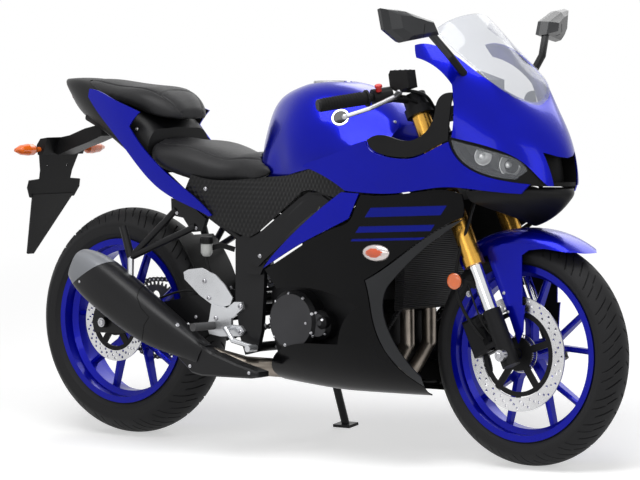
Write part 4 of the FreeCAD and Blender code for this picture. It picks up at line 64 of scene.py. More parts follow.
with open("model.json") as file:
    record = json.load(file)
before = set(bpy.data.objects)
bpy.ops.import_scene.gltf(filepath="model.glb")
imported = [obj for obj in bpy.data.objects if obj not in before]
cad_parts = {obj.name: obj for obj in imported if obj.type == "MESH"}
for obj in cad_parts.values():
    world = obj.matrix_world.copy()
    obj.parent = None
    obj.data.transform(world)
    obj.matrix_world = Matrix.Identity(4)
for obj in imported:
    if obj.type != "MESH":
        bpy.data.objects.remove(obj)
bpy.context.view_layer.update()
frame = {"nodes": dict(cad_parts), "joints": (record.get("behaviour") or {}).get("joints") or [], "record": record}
nodes = frame["nodes"]
joints = {joint["name"]: joint for joint in frame["joints"]}
body_of = {name: body for body, names in frame["record"]["behaviour"]["bodies"].items()
           for name in names}

LEAN = Matrix.Rotation(-STAND_LEAN, 3, "X")
UNLEAN = LEAN.transposed()
SHIFT = (Vector(joints["rear_wheel_spin"]["pos_m"])
         - LEAN @ Vector((0, 0, REAR_TYRE_RADIUS * MILLIMETRE)))


def place(x, y, z):
    """A point of the standing bike, in metres, from its place on the upright bike."""
    return LEAN @ (Vector((x, y, z)) * MILLIMETRE) + SHIFT


def heading(x, y, z):
    """A direction of the standing bike, from its direction on the upright bike."""
    return LEAN @ Vector((x, y, z))


def upright(point):
    """A place on the upright bike, from a point of the standing bike."""
    return UNLEAN @ (Vector(point) - SHIFT) / MILLIMETRE


# Finding a node's surface

trees = {}


def tree_of(name):
    if name not in trees:
        mesh = nodes[name].data
        corners = [vertex.co for vertex in mesh.vertices]
        trees[name] = BVHTree.FromPolygons(corners, [face.vertices for face in mesh.polygons])
    return trees[name]


def first_hit(start, direction, names):
    """The nearest place where a ray meets one of the nodes, its outward direction and the node."""
    found = None
    for name in names:
        point, normal, _, distance = tree_of(name).ray_cast(start, direction)
        if point is not None and (found is None or distance < found[3]):
            found = (point, normal, name, distance)
    if found is None:
        return None
    point, normal, name, _ = found
    return point, (normal if normal.dot(direction) < 0 else -normal), name


def seen(px, py, names=None):
    """What the photograph's camera sees at a pixel."""
    aim = (Vector(CAMERA_FORWARD) * FOCAL_PIXELS + Vector(CAMERA_RIGHT) * (px - PICTURE_WIDTH / 2)
           - Vector(CAMERA_UP) * (py - PICTURE_HEIGHT / 2))
    return first_hit(place(*CAMERA_PLACE), (LEAN @ aim).normalized(), names or sorted(nodes))


def beside(x, z, side, names):
    """What lies at a place of the side view, as met from that side."""
    return first_hit(place(x, side * OUTSIDE, z), heading(0, -side, 0), names)


def both_sides(px, py, names=None):
    """The spot under a pixel, and the same spot of the bike's left side."""
    spot = seen(px, py, names)
    if spot is None:
        return []
    x, _, z = upright(spot[0])
    other = beside(x, z, LEFT, [spot[2]])
    return [spot] + ([other] if other else [])


# Shapes in mesh code


class Builder:
    """Gathers many small shapes into one mesh."""

    def __init__(self):
        self.corners = []
        self.faces = []
        self.marks = []

    def add(self, corners, faces, mark=0):
        start = len(self.corners)
        self.corners += [tuple(corner) for corner in corners]
        self.faces += [tuple(start + index for index in face) for face in faces]
        self.marks += [mark] * len(faces)

    def piece(self, name, body, slot, *mades, crease=35.0):
        mesh = bpy.data.meshes.new(name)
        mesh.from_pydata(self.corners, [], self.faces)
        for made in mades:
            mesh.materials.append(made)
        mesh.polygons.foreach_set("material_index", self.marks)
        mesh.shade_smooth()
        mesh.set_sharp_from_angle(angle=math.radians(crease))
        mesh.update()
        piece = bpy.data.objects.new(name, mesh)
        return carried(piece, body)


def carried(piece, body):
    bpy.context.scene.collection.objects.link(piece)
    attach(piece, body)
    return piece


def turned(builder, centre, axis, profile, count=16, mark=0, foot=False, head=True):
    """A shape turned about an axis, from pairs of radius and height in millimetres."""
    axis = axis.normalized()
    across = axis.orthogonal().normalized()
    other = axis.cross(across)
    corners = []
    for radius, height in profile:
        for step in range(count):
            angle = 2 * math.pi * step / count
            out = across * math.cos(angle) + other * math.sin(angle)
            corners.append(centre + (out * radius + axis * height) * MILLIMETRE)
    faces = []
    for level in range(len(profile) - 1):
        low = level * count
        for step in range(count):
            after = (step + 1) % count
            faces.append((low + step, low + after, low + count + after, low + count + step))
    if head:
        faces.append(tuple(range((len(profile) - 1) * count, len(profile) * count)))
    if foot:
        faces.append(tuple(reversed(range(count))))
    builder.add(corners, faces, mark)


def swept(builder, path, outline):
    """An outline of pairs across and above, in millimetres, carried along a path of spots."""
    count = len(outline)
    last = len(path) - 1
    corners = []
    for index, (point, normal) in enumerate(path):
        along = (path[min(index + 1, last)][0] - path[max(index - 1, 0)][0]).normalized()
        side = along.cross(normal).normalized()
        above = side.cross(along)
        for across, height in outline:
            corners.append(point + (side * across + above * height) * MILLIMETRE)
    faces = []
    for low in range(0, last * count, count):
        for step in range(count):
            after = (step + 1) % count
            faces.append((low + step, low + count + step, low + count + after, low + after))
    faces.append(tuple(range(count)))
    faces.append(tuple(reversed(range(last * count, (last + 1) * count))))
    builder.add(corners, faces)


def ribbon(width, height):
    """The outline of a low strip, half sunk in what it lies on."""
    half = width / 2
    return ((-half, -0.6), (half, -0.6), (half, height * 0.5), (half * 0.7, height),
            (-half * 0.7, height), (-half, height * 0.5))


def surface_path(pixels, names, spacing=2.0):
    """Spots along a line of the photograph, on the nodes that it crosses."""
    path = []
    for (px, py), (qx, qy) in zip(pixels, pixels[1:]):
        steps = max(2, round(math.hypot(qx - px, qy - py) / spacing))
        for step in range(steps + (pixels[-1] == (qx, qy))):
            share = step / steps
            spot = seen(px + (qx - px) * share, py + (qy - py) * share, names)
            if spot:
                path.append(spot)
    return path


def left_path(path):
    """The same spots on the bike's left side."""
    found = [beside(upright(spot[0]).x, upright(spot[0]).z, LEFT, [spot[2]]) for spot in path]
    return [spot for spot in reversed(found) if spot]


def line_on(builder, pixels, names, width, height):
    """A low strip that follows a line of the photograph, on both sides of the bike."""
    path = surface_path(pixels, names)
    for side in (path, left_path(path)):
        if len(side) > 1:
            swept(builder, [spot[:2] for spot in side], ribbon(width, height))


def hose(name, radius, body, points):
    """A fixed hose, cable or wire, from its route on the upright bike."""
    curve = bpy.data.curves.new(name, "CURVE")
    curve.dimensions = "3D"
    curve.bevel_depth = radius * MILLIMETRE
    curve.bevel_resolution = 3
    curve.use_fill_caps = True
    curve.resolution_u = 6
    spline = curve.splines.new("NURBS")
    spline.points.add(len(points) - 1)
    for target, point in zip(spline.points, points):
        target.co = (*place(*point), 1.0)
    spline.order_u = 3
    spline.use_endpoint_u = True
    curve.materials.append(dark_plastic)
    carried(bpy.data.objects.new(name, curve), body)


def screw(builder, spot, radius):
    """A round screw head with a socket."""
    profile = ((radius * 1.25, -0.5), (radius * 1.25, 0.8), (radius, 1.0), (radius, radius * 0.7),
               (radius * 0.85, radius * 0.9), (radius * 0.5, radius * 0.9), (radius * 0.45, 1.2))
    turned(builder, spot[0], spot[1], profile, 12)


def hexagon(builder, spot, radius, height):
    """A hexagon nut or bolt head on its washer."""
    turned(builder, spot[0], spot[1], ((radius * 1.35, -0.5), (radius * 1.35, 1.6)), 20)
    profile = ((radius, 1.6), (radius, height * 0.85), (radius * 0.85, height),
               (radius * 0.4, height), (radius * 0.35, height * 0.8))
    turned(builder, spot[0], spot[1], profile, 6)


# Materials


def material(name, colour, roughness=0.5, metallic=0.0, coat=0.0, specular=0.5):
    made = bpy.data.materials.new(name)
    made.use_nodes = True
    shader = shader_of(made)
    shader.inputs["Base Color"].default_value = (*colour, 1.0)
    shader.inputs["Roughness"].default_value = roughness
    shader.inputs["Metallic"].default_value = metallic
    shader.inputs["Coat Weight"].default_value = coat
    shader.inputs["Coat Roughness"].default_value = 0.03
    shader.inputs["Specular IOR Level"].default_value = specular
    return made


def shader_of(made):
    return made.node_tree.nodes["Principled BSDF"]


def wired(tree, kind, inputs, **settings):
    """A shader node with its settings and with its inputs set or linked."""
    node = tree.nodes.new(kind)
    for key, value in settings.items():
        setattr(node, key, value)
    for key, value in inputs.items():
        if isinstance(value, bpy.types.NodeSocket):
            tree.links.new(value, node.inputs[key])
        else:
            node.inputs[key].default_value = value
    return node


def sum_of(tree, operation, first, second=0.0):
    return wired(tree, "ShaderNodeMath", {0: first, 1: second}, operation=operation).outputs[0]


def object_place(tree):
    return wired(tree, "ShaderNodeTexCoord", {}).outputs["Object"]


def upright_place(tree):
    """The place of a surface on the upright bike, in metres."""
    inputs = {"Vector": object_place(tree), "Location": SHIFT, "Rotation": (-STAND_LEAN, 0.0, 0.0)}
    return wired(tree, "ShaderNodeMapping", inputs, vector_type="TEXTURE").outputs["Vector"]


def upright_parts(tree):
    parts = wired(tree, "ShaderNodeSeparateXYZ", {"Vector": upright_place(tree)})
    return parts.outputs["X"], parts.outputs["Y"], parts.outputs["Z"]


def two_tones(colour, spread):
    low = tuple(share * (1 - spread) for share in colour) + (1.0,)
    high = tuple(min(1.0, share * (1 + spread)) for share in colour) + (1.0,)
    return low, high


def grained(made, scale, bump=0.1, distance=0.0004, spread=0.12, rough_spread=0.06, patches=9.0,
            height=None):
    """Fine grain in the relief, broad change in the colour and both in the roughness."""
    tree = made.node_tree
    shader = shader_of(made)
    colour = tuple(shader.inputs["Base Color"].default_value)[:3]
    rough = shader.inputs["Roughness"].default_value
    where = object_place(tree)
    broad = wired(tree, "ShaderNodeTexNoise", {"Vector": where, "Scale": patches, "Detail": 3.0})
    fine = wired(tree, "ShaderNodeTexNoise", {"Vector": where, "Scale": scale, "Detail": 3.0})
    low, high = two_tones(colour, spread)
    tone = tree.nodes.new("ShaderNodeValToRGB")
    tone.color_ramp.elements[0].position = 0.3
    tone.color_ramp.elements[1].position = 0.7
    tone.color_ramp.elements[0].color = low
    tone.color_ramp.elements[1].color = high
    tree.links.new(broad.outputs["Fac"], tone.inputs["Fac"])
    tree.links.new(tone.outputs["Color"], shader.inputs["Base Color"])
    blend = sum_of(tree, "ADD", fine.outputs["Fac"], broad.outputs["Fac"])
    span = wired(tree, "ShaderNodeMapRange", {"Value": blend, "From Min": 0.6, "From Max": 1.4,
                                              "To Min": max(0.02, rough - rough_spread),
                                              "To Max": min(1.0, rough + rough_spread)})
    tree.links.new(span.outputs["Result"], shader.inputs["Roughness"])
    relief = wired(tree, "ShaderNodeBump", {"Height": fine.outputs["Fac"], "Strength": bump,
                                            "Distance": distance})
    if height is not None:
        source, depth = height(tree)
        relief = wired(tree, "ShaderNodeBump", {"Height": source, "Strength": 1.0, "Distance": depth,
                                                "Normal": relief.outputs["Normal"]})
    tree.links.new(relief.outputs["Normal"], shader.inputs["Normal"])
    return made


def overlay(made, mask_of, colour, roughness=None):
    """A second colour where a mask says so."""
    tree = made.node_tree
    shader = shader_of(made)
    mask = mask_of(tree)
    under = shader.inputs["Base Color"].links[0].from_socket
    mix = wired(tree, "ShaderNodeMix", {0: mask}, data_type="RGBA")
    tree.links.new(under, mix.inputs[6])
    mix.inputs[7].default_value = (*colour, 1.0)
    tree.links.new(mix.outputs[2], shader.inputs["Base Color"])
    if roughness is not None:
        rough = shader.inputs["Roughness"].links[0].from_socket
        level = wired(tree, "ShaderNodeMix", {0: mask, 3: roughness}, data_type="FLOAT")
        tree.links.new(rough, level.inputs[2])
        tree.links.new(level.outputs[0], shader.inputs["Roughness"])
    return made


def between(tree, value, low, high):
    above = sum_of(tree, "GREATER_THAN", value, low)
    below = sum_of(tree, "LESS_THAN", value, high)
    return sum_of(tree, "MULTIPLY", above, below)


def honeycomb(pitch):
    """A height of small raised cells, in rows across the bike's side."""
    def height(tree):
        x, _, z = upright_parts(tree)
        turns = []
        for angle in (90.0, 210.0, 330.0):
            across = math.cos(math.radians(angle)) * 2 * math.pi / pitch
            up = math.sin(math.radians(angle)) * 2 * math.pi / pitch
            phase = sum_of(tree, "ADD", sum_of(tree, "MULTIPLY", x, across),
                           sum_of(tree, "MULTIPLY", z, up))
            turns.append(sum_of(tree, "COSINE", phase))
        total = sum_of(tree, "ADD", sum_of(tree, "ADD", turns[0], turns[1]), turns[2])
        return sum_of(tree, "MULTIPLY", total, 0.25), 0.0012
    return height


def ribs(pitch, axis, depth):
    """A height of straight ribs across one of the upright bike's directions."""
    def height(tree):
        value = upright_parts(tree)["XYZ".index(axis)]
        phase = sum_of(tree, "MULTIPLY", value, 2 * math.pi / pitch)
        return sum_of(tree, "SINE", phase), depth
    return height


def brushed_rings(centre):
    """A height of fine rings about an axle, as turning leaves them."""
    def height(tree):
        x, _, z = upright_parts(tree)
        dx = sum_of(tree, "SUBTRACT", x, centre[0] * MILLIMETRE)
        dz = sum_of(tree, "SUBTRACT", z, centre[2] * MILLIMETRE)
        reach = sum_of(tree, "SQRT", sum_of(tree, "ADD", sum_of(tree, "MULTIPLY", dx, dx),
                                            sum_of(tree, "MULTIPLY", dz, dz)))
        noise = wired(tree, "ShaderNodeTexNoise", {"W": sum_of(tree, "MULTIPLY", reach, 1500.0),
                                                   "Scale": 1.0}, noise_dimensions="1D")
        return noise.outputs["Fac"], 0.0002
    return height


def glassy(name, colour, alpha, roughness=0.02):
    made = material(name, colour, roughness, 0.0, 0.6)
    tree = made.node_tree
    broad = wired(tree, "ShaderNodeTexNoise", {"Vector": object_place(tree), "Scale": 6.0})
    span = wired(tree, "ShaderNodeMapRange", {"Value": broad.outputs["Fac"], "To Min": roughness,
                                              "To Max": roughness + 0.03})
    tree.links.new(span.outputs["Result"], shader_of(made).inputs["Roughness"])
    shader_of(made).inputs["Alpha"].default_value = alpha
    return made


def finish(name, colour, roughness, scale, bump, metallic=0.0, coat=0.0, specular=0.5, **grain):
    """A grained material, with the fineness and the depth of its grain."""
    made = material(name, colour, roughness, metallic, coat, specular)
    return grained(made, scale, bump, **grain)


BLUE = (0.0012, 0.004, 0.36)

paint_blue = finish("paint_blue", BLUE, 0.24, 3000, 0.03, 0.6, 0.22, 0.05, spread=0.05,
                    rough_spread=0.03)
rim_blue = finish("rim_blue", BLUE, 0.30, 1800, 0.05, 0.4, 0.2, 0.1, spread=0.06)
dark_plastic = finish("dark_plastic", (0.007, 0.007, 0.0075), 0.42, 1200, 0.25, specular=0.15)
cell_plastic = finish("cell_plastic", (0.007, 0.007, 0.0075), 0.38, 1200, 0.2, specular=0.2,
                      height=honeycomb(0.0125))
inner_plastic = finish("inner_plastic", (0.006, 0.006, 0.006), 0.6, 1000, 0.3, specular=0.12)
gloss_dark = finish("gloss_dark", (0.003, 0.003, 0.0035), 0.20, 1500, 0.03, 0.0, 0.04, 0.08)
grey_paint = finish("grey_paint", (0.020, 0.021, 0.023), 0.36, 2200, 0.06, 0.4, 0.15, 0.2)
mirror_grey = finish("mirror_grey", (0.030, 0.031, 0.033), 0.38, 1200, 0.12, 0.1, 0.1, 0.25)
frame_dark = finish("frame_dark", (0.008, 0.008, 0.009), 0.34, 900, 0.12, 0.1, 0.05, 0.2)
cast_dark = finish("cast_dark", (0.010, 0.010, 0.011), 0.44, 700, 0.35, 0.3, specular=0.15)
cast_silver = finish("cast_silver", (0.60, 0.61, 0.63), 0.30, 800, 0.2, 0.85)
gold = finish("gold", (0.60, 0.33, 0.06), 0.24, 900, 0.05, 0.95)
chrome = finish("chrome", (0.72, 0.73, 0.75), 0.10, 900, 0.02, 1.0, rough_spread=0.03)
mirror_glass = finish("mirror_glass", (0.75, 0.78, 0.80), 0.04, 900, 0.0, 1.0, rough_spread=0.01)
steel = finish("steel", (0.48, 0.48, 0.50), 0.30, 900, 0.12, 1.0)
dark_steel = finish("dark_steel", (0.05, 0.05, 0.053), 0.38, 800, 0.2, 0.8, specular=0.2)
header_steel = finish("header_steel", (0.24, 0.21, 0.18), 0.34, 700, 0.2, 0.95, spread=0.35,
                      patches=14.0)
front_band = finish("front_band", (0.62, 0.62, 0.63), 0.28, 900, 0.05, 1.0,
                    height=brushed_rings(FRONT_AXLE))
rear_band = finish("rear_band", (0.62, 0.62, 0.63), 0.28, 900, 0.05, 1.0,
                   height=brushed_rings(REAR_AXLE))
radiator_core = finish("radiator_core", (0.030, 0.030, 0.032), 0.45, 700, 0.1, 0.7,
                       height=ribs(0.005, "Z", 0.0015))
tyre_rubber = finish("tyre_rubber", (0.012, 0.012, 0.013), 0.62, 900, 0.25, specular=0.22,
                     rough_spread=0.08)
grip_rubber = finish("grip_rubber", (0.009, 0.009, 0.009), 0.75, 900, 0.3, specular=0.15)
peg_rubber = finish("peg_rubber", (0.06, 0.06, 0.062), 0.7, 900, 0.3)
seat_cover = finish("seat_cover", (0.009, 0.009, 0.010), 0.46, 1500, 0.5, specular=0.25,
                    distance=0.0006)
thread = finish("thread", (0.05, 0.05, 0.055), 0.7, 2500, 0.4)
clear = glassy("clear", (0.52, 0.55, 0.62), 0.34)
lens = glassy("lens", (0.60, 0.63, 0.68), 0.10)
lamp_red = finish("lamp_red", (0.45, 0.006, 0.006), 0.12, 300, 0.05, 0.0, 1.0)
lamp_orange = finish("lamp_orange", (0.90, 0.16, 0.015), 0.14, 300, 0.05, 0.0, 1.0)
lamp_bulb = finish("lamp_bulb", (0.75, 0.10, 0.02), 0.14, 300, 0.05, 0.0, 0.5)
lamp_shell = finish("lamp_shell", (0.62, 0.56, 0.54), 0.14, 300, 0.05, 0.6, 0.5)
reflector = finish("reflector", (0.88, 0.89, 0.90), 0.26, 500, 0.1, 0.35, 0.5)
lamp_white = finish("lamp_white", (0.90, 0.91, 0.92), 0.25, 500, 0.05, 0.0, 1.0)
switch_red = finish("switch_red", (0.60, 0.012, 0.010), 0.35, 700, 0.1)
face_glass = finish("face_glass", (0.006, 0.006, 0.007), 0.12, 700, 0.0, 0.0, 0.3, 0.2)
cup_white = finish("cup_white", (0.55, 0.56, 0.54), 0.3, 600, 0.05, 0.0, 0.3)
muffler_dark = finish("muffler_dark", (0.009, 0.009, 0.010), 0.36, 900, 0.15, 0.1, specular=0.25)


# Dressing the nodes of the frame

# Where one finish ends on a node and the next begins, in millimetres on the upright bike
INNER_START = 60.0
FRONT_BAND_START = 112.0
REAR_BAND_START = 77.0
BULB_PLACE = (1026.0, 546.0)
BULB_HALVES = (26.0, 12.0)
TAIL_LAMP_FOOT = 880.0
GRIP_START = 246.0
HOUSING_START = 176.0
RESERVOIR_FOOT = 962.0
MIRROR_HEAD_START = 215.0
PEG_START = 178.0
PEG_PLACE = (424.0, 326.0)
PEG_REACH = 16.0
COVER_START = 150.0
AXLE_END_START = 118.0
AXLE_END_REACH = 16.0
PILLION_PEG_START = 140.0
PILLION_PEG_TOP = 520.0
DIAL_HALF = 60.0
DIAL_START = 1150.0
CAP_PLACE = 712.0
CAP_LID_REACH = 36.0

# How much of a face's direction has to point one way for the face to count as facing it
INWARD_SHARE = 0.55
MIRROR_SHARE = 0.75
COVER_SHARE = 0.8
DIAL_SHARE = 0.5
LID_SHARE = 0.7

# The stripes and the silencer's silver end, in metres on the upright bike
STRIPE_SLOPE = 0.05
STRIPE_LEAN = 0.7
STRIPE_BANDS = ((0.588, 0.612), (0.548, 0.564), (0.526, 0.532))
STRIPE_ENDS = (0.54, 0.77)
STRIPE_BLUE = (0.004, 0.010, 0.26)
TIP_SLOPE = 1.77
TIP_LINE = -0.775
TIP_SEAM = (-0.777, -0.774)
TIP_SILVER = (0.26, 0.27, 0.29)
SEAM_BLACK = (0.002, 0.002, 0.002)


def dress(made, *names):
    for name in names:
        mesh = nodes[name].data
        mesh.materials.clear()
        mesh.materials.append(made)


def paint(name, mades, chooser):
    """Gives each face of a node one of the materials, by its place and direction."""
    mesh = nodes[name].data
    mesh.materials.clear()
    for made in mades:
        mesh.materials.append(made)
    for face in mesh.polygons:
        centre = upright(face.center)
        face.material_index = chooser(centre, UNLEAN @ face.normal)


def reach_from(centre, axle):
    return math.hypot(centre.x - axle[0], centre.z - axle[2])


def dress_plain_nodes():
    dress(rim_blue, "front_rim", "rear_rim")
    dress(dark_plastic, "undertail", "chin_cowl", "chain_guard", "plate_holder")
    dress(cell_plastic, "side_covers")
    dress(inner_plastic, "nose_liner")
    dress(grey_paint, "fairing_blades")
    dress(frame_dark, "frame", "swingarm", "side_stand")
    dress(cast_dark, "fork_clamps")
    dress(radiator_core, "radiator")
    dress(gold, "fork_outers")
    dress(chrome, "fork_inners")
    dress(header_steel, "exhaust_pipe")
    dress(dark_steel, "chain", "rear_sprocket", "rear_shock")
    dress(steel, "hand_levers")
    dress(seat_cover, "rider_seat", "pillion_seat")
    dress(tyre_rubber, "front_tyre", "rear_tyre")
    dress(clear, "windscreen")
    dress(lens, "headlamps")
    dress(paint_blue, "fuel_tank", "nose_cowl")


def generic_stripes(tree):
    """Plain slanted stripes along the lower fairing's upper part."""
    x, _, z = upright_parts(tree)
    level = sum_of(tree, "SUBTRACT", z, sum_of(tree, "MULTIPLY", x, STRIPE_SLOPE))
    inside = [between(tree, level, low, high) for low, high in STRIPE_BANDS]
    bands = sum_of(tree, "MAXIMUM", sum_of(tree, "MAXIMUM", inside[0], inside[1]), inside[2])
    leaned = sum_of(tree, "SUBTRACT", x, sum_of(tree, "MULTIPLY", z, STRIPE_LEAN))
    return sum_of(tree, "MULTIPLY", bands, between(tree, leaned, *STRIPE_ENDS))


def tip_measure(tree):
    """A measure along the silencer, equal all along the slanted line of its silver end."""
    x, _, z = upright_parts(tree)
    return sum_of(tree, "SUBTRACT", x, sum_of(tree, "MULTIPLY", z, TIP_SLOPE))


def behind_tip_line(tree):
    return sum_of(tree, "LESS_THAN", tip_measure(tree), TIP_LINE)


def seam_of_tip(tree):
    return between(tree, tip_measure(tree), *TIP_SEAM)


# Each chooser gives the number of a face's material among those of its node


def panel_part(centre, normal):
    """Bare plastic on faces that look at the bike's middle."""
    return int(normal.y * centre.y < -INWARD_SHARE * abs(centre.y)
               and abs(centre.y) > INNER_START)


def disc_part(axle, band_start):
    def choose(centre, normal):
        return int(reach_from(centre, axle) < band_start)
    return choose


def lamp_part(centre, normal):
    """The tail lamp, the rear signals, and the bulbs and shells of the front ones."""
    if centre.x > 0:
        return 2 + int(math.hypot((centre.x - BULB_PLACE[0]) / BULB_HALVES[0],
                                  (centre.z - BULB_PLACE[1]) / BULB_HALVES[1]) > 1)
    return 0 if centre.z > TAIL_LAMP_FOOT else 1


def bar_part(centre, normal):
    """Rubber on the grips, plastic on the switch housings and metal between them."""
    if abs(centre.y) > GRIP_START:
        return 1
    on_reservoir = centre.z > RESERVOIR_FOOT and centre.y < 0
    return 2 if on_reservoir or abs(centre.y) > HOUSING_START else 0


def mirror_part(centre, normal):
    """The head, its glass and the stalk."""
    if abs(centre.y) > MIRROR_HEAD_START:
        return int(normal.x < -MIRROR_SHARE)
    return 2


def footrest_part(centre, normal):
    return int(abs(centre.y) > PEG_START and abs(centre.z - PEG_PLACE[1]) < PEG_REACH
               and abs(centre.x - PEG_PLACE[0]) < PEG_REACH)


def engine_part(centre, normal):
    """The round covers' outer faces are a little lighter than the castings."""
    return int(abs(centre.y) > COVER_START and abs(normal.y) > COVER_SHARE)


def fork_foot_part(centre, normal):
    return int(reach_from(centre, FRONT_AXLE) < AXLE_END_REACH and abs(centre.y) > AXLE_END_START)


def subframe_part(centre, normal):
    """The pillion's pegs are bare metal, and the rest is painted."""
    return int(abs(centre.y) > PILLION_PEG_START and centre.z < PILLION_PEG_TOP)


def cockpit_part(centre, normal):
    return int(abs(centre.y) < DIAL_HALF and normal.x < -DIAL_SHARE and centre.x > DIAL_START)


def cap_part(centre, normal):
    return int(math.hypot(centre.x - CAP_PLACE, centre.y) < CAP_LID_REACH
               and normal.z > LID_SHARE)


dress_plain_nodes()
overlay(gloss_dark, generic_stripes, STRIPE_BLUE, 0.2)
for panel in ("tail_panels", "upper_fairings", "front_fender"):
    paint(panel, (paint_blue, inner_plastic), panel_part)
paint("lower_fairings", (gloss_dark, inner_plastic), panel_part)
paint("front_disc", (front_band, cast_dark), disc_part(FRONT_AXLE, FRONT_BAND_START))
paint("rear_disc", (rear_band, cast_dark), disc_part(REAR_AXLE, REAR_BAND_START))
paint("lamps", (lamp_red, lamp_orange, lamp_bulb, lamp_shell), lamp_part)
paint("handlebars", (cast_dark, grip_rubber, dark_plastic), bar_part)
overlay(muffler_dark, behind_tip_line, TIP_SILVER, 0.3)
overlay(muffler_dark, seam_of_tip, SEAM_BLACK, 0.6)
dress(muffler_dark, "muffler")
paint("mirrors", (mirror_grey, mirror_glass, dark_plastic), mirror_part)
paint("footrests", (cast_silver, peg_rubber), footrest_part)
paint("engine", (cast_dark, dark_steel), engine_part)
paint("fork_lowers", (cast_dark, steel), fork_foot_part)
paint("subframe", (frame_dark, cast_silver), subframe_part)
paint("cockpit_trim", (dark_plastic, face_glass), cockpit_part)
paint("fuel_cap", (steel, dark_plastic), cap_part)


# Seats: remeshed and softened, with seams pressed in and stitched


SEAT_VOXEL = 0.0055
SEAT_STEP = 12.0
SEAM_WIDTH = 3.2
SEAM_DEPTH = 2.6
SEAM_FACE_SHARE = 0.25
BOW_SPAN = 100.0
STITCH_LENGTH = 5.0
STITCH_STEP = 8.0
STITCH_INSET = 5.0
THREAD_WIDTH = 1.2
THREAD_HEIGHT = 0.7
ABOVE = 1100.0


def softened(name, node, made):
    """A cushion in the space of its node, with rounded edges."""
    piece = bpy.data.objects.new(name, nodes[node].data.copy())
    bpy.context.scene.collection.objects.link(piece)
    remesh = piece.modifiers.new("even", "REMESH")
    remesh.mode = "VOXEL"
    remesh.voxel_size = SEAT_VOXEL
    smooth = piece.modifiers.new("soften", "SMOOTH")
    smooth.factor = 0.5
    smooth.iterations = 10
    finer = piece.modifiers.new("finer", "SUBSURF")
    finer.levels = 1
    finer.render_levels = 1
    ready = piece.evaluated_get(bpy.context.evaluated_depsgraph_get())
    mesh = bpy.data.meshes.new_from_object(ready)
    piece.modifiers.clear()
    piece.data = mesh
    mesh.materials.clear()
    mesh.materials.append(made)
    mesh.shade_smooth()
    return piece


def half_widths(mesh):
    """The half width of a seat at each step along the bike."""
    widths = {}
    for vertex in mesh.vertices:
        spot = upright(vertex.co)
        key = round(spot.x / SEAT_STEP)
        widths[key] = max(widths.get(key, 0.0), abs(spot.y))
    return widths


def seam_gap(spot, widths, side_share, crossings):
    """How far a place is from the nearest seam, seen from above."""
    x = spot.x / SEAT_STEP
    low = math.floor(x)
    near = widths.get(low, 0.0)
    width = near + (widths.get(low + 1, near) - near) * (x - low)
    gap = abs(abs(spot.y) - width * side_share)
    if abs(spot.y) < width * side_share:
        for line, bow in crossings:
            gap = min(gap, abs(spot.x - line - bow * (spot.y / BOW_SPAN) ** 2))
    return gap


def press_seams(mesh, widths, side_share, crossings):
    for vertex in mesh.vertices:
        if (UNLEAN @ vertex.normal).z < SEAM_FACE_SHARE:
            continue
        gap = seam_gap(upright(vertex.co), widths, side_share, crossings)
        if gap < SEAM_WIDTH * 2:
            press = SEAM_DEPTH * math.exp(-(gap / SEAM_WIDTH) ** 2)
            vertex.co -= vertex.normal * press * MILLIMETRE
    mesh.update()


def stitches(name, mesh, widths, side_share, span):
    """Short threads along both side seams, just outside them."""
    tree = BVHTree.FromPolygons([vertex.co for vertex in mesh.vertices],
                                [face.vertices for face in mesh.polygons])
    builder = Builder()
    for side in (RIGHT, LEFT):
        x = span[0]
        while x < span[1]:
            ends = []
            for offset in (0.0, STITCH_LENGTH):
                key = round((x + offset) / SEAT_STEP)
                y = side * (widths.get(key, 0.0) * side_share - STITCH_INSET)
                point, normal, _, _ = tree.ray_cast(place(x + offset, y, ABOVE), heading(0, 0, -1))
                if point is not None:
                    ends.append((point, normal))
            if len(ends) == 2:
                swept(builder, ends, ribbon(THREAD_WIDTH, THREAD_HEIGHT))
            x += STITCH_STEP
    builder.piece(name, "chassis", "seat", thread)


def make_seat(node, side_share, crossings, span):
    """A padded cover for a seat's solid, with seams beside its middle and across it."""
    piece = softened(node + "_cover", node, seat_cover)
    widths = half_widths(piece.data)
    press_seams(piece.data, widths, side_share, crossings)
    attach(piece, "chassis")
    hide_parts(node)
    stitches(node + "_stitches", piece.data, widths, side_share, span)


make_seat("rider_seat", 0.74, ((236.0, -30.0), (520.0, 40.0)), (250.0, 510.0))
make_seat("pillion_seat", 0.70, ((150.0, 20.0),), (-80.0, 140.0))


# Tyres with a road tread


TREAD_DEPTH = 4.0
TREAD_SLANT_SHARE = 0.62
TREAD_BEND = 1.3
GROOVE_EDGE_SHARE = 0.012
CROWN_ROWS = 26
WALL_OUT_SHARE = 0.8
WALL_RISE_SHARE = 0.35


def tyre_section(radius, width, drop, bead_half):
    """Across, reach and tread share of a tyre's section, from bead to bead."""
    half = width / 2
    crown = (half * half + drop * drop) / (2 * drop)
    shoulder_turn = math.asin(half / crown)
    shoulder = radius - drop
    section = []
    for index in range(CROWN_ROWS + 1):
        turn = -shoulder_turn + 2 * shoulder_turn * index / CROWN_ROWS
        section.append((crown * math.sin(turn), radius - crown + crown * math.cos(turn), True))
    wall_y = bead_half + (half - bead_half) * WALL_OUT_SHARE
    wall_r = RIM_FLANGE_RADIUS + (shoulder - RIM_FLANGE_RADIUS) * WALL_RISE_SHARE
    bulge = ((half, shoulder - 5.0), (half - 0.4, shoulder - 7.0), (half - 0.6, shoulder - 10.0),
             ((half + wall_y) / 2 + 1.0, (shoulder + wall_r) / 2), (wall_y, wall_r),
             (wall_y - 1.6, wall_r - 1.4), (bead_half + 1.4, RIM_FLANGE_RADIUS + 3.0),
             (bead_half, RIM_FLANGE_RADIUS), (bead_half, RIM_SEAT_RADIUS))
    right = [(-y, r, False) for y, r in reversed(bulge)]
    left = [(y, r, False) for y, r in bulge]
    return right + section + left


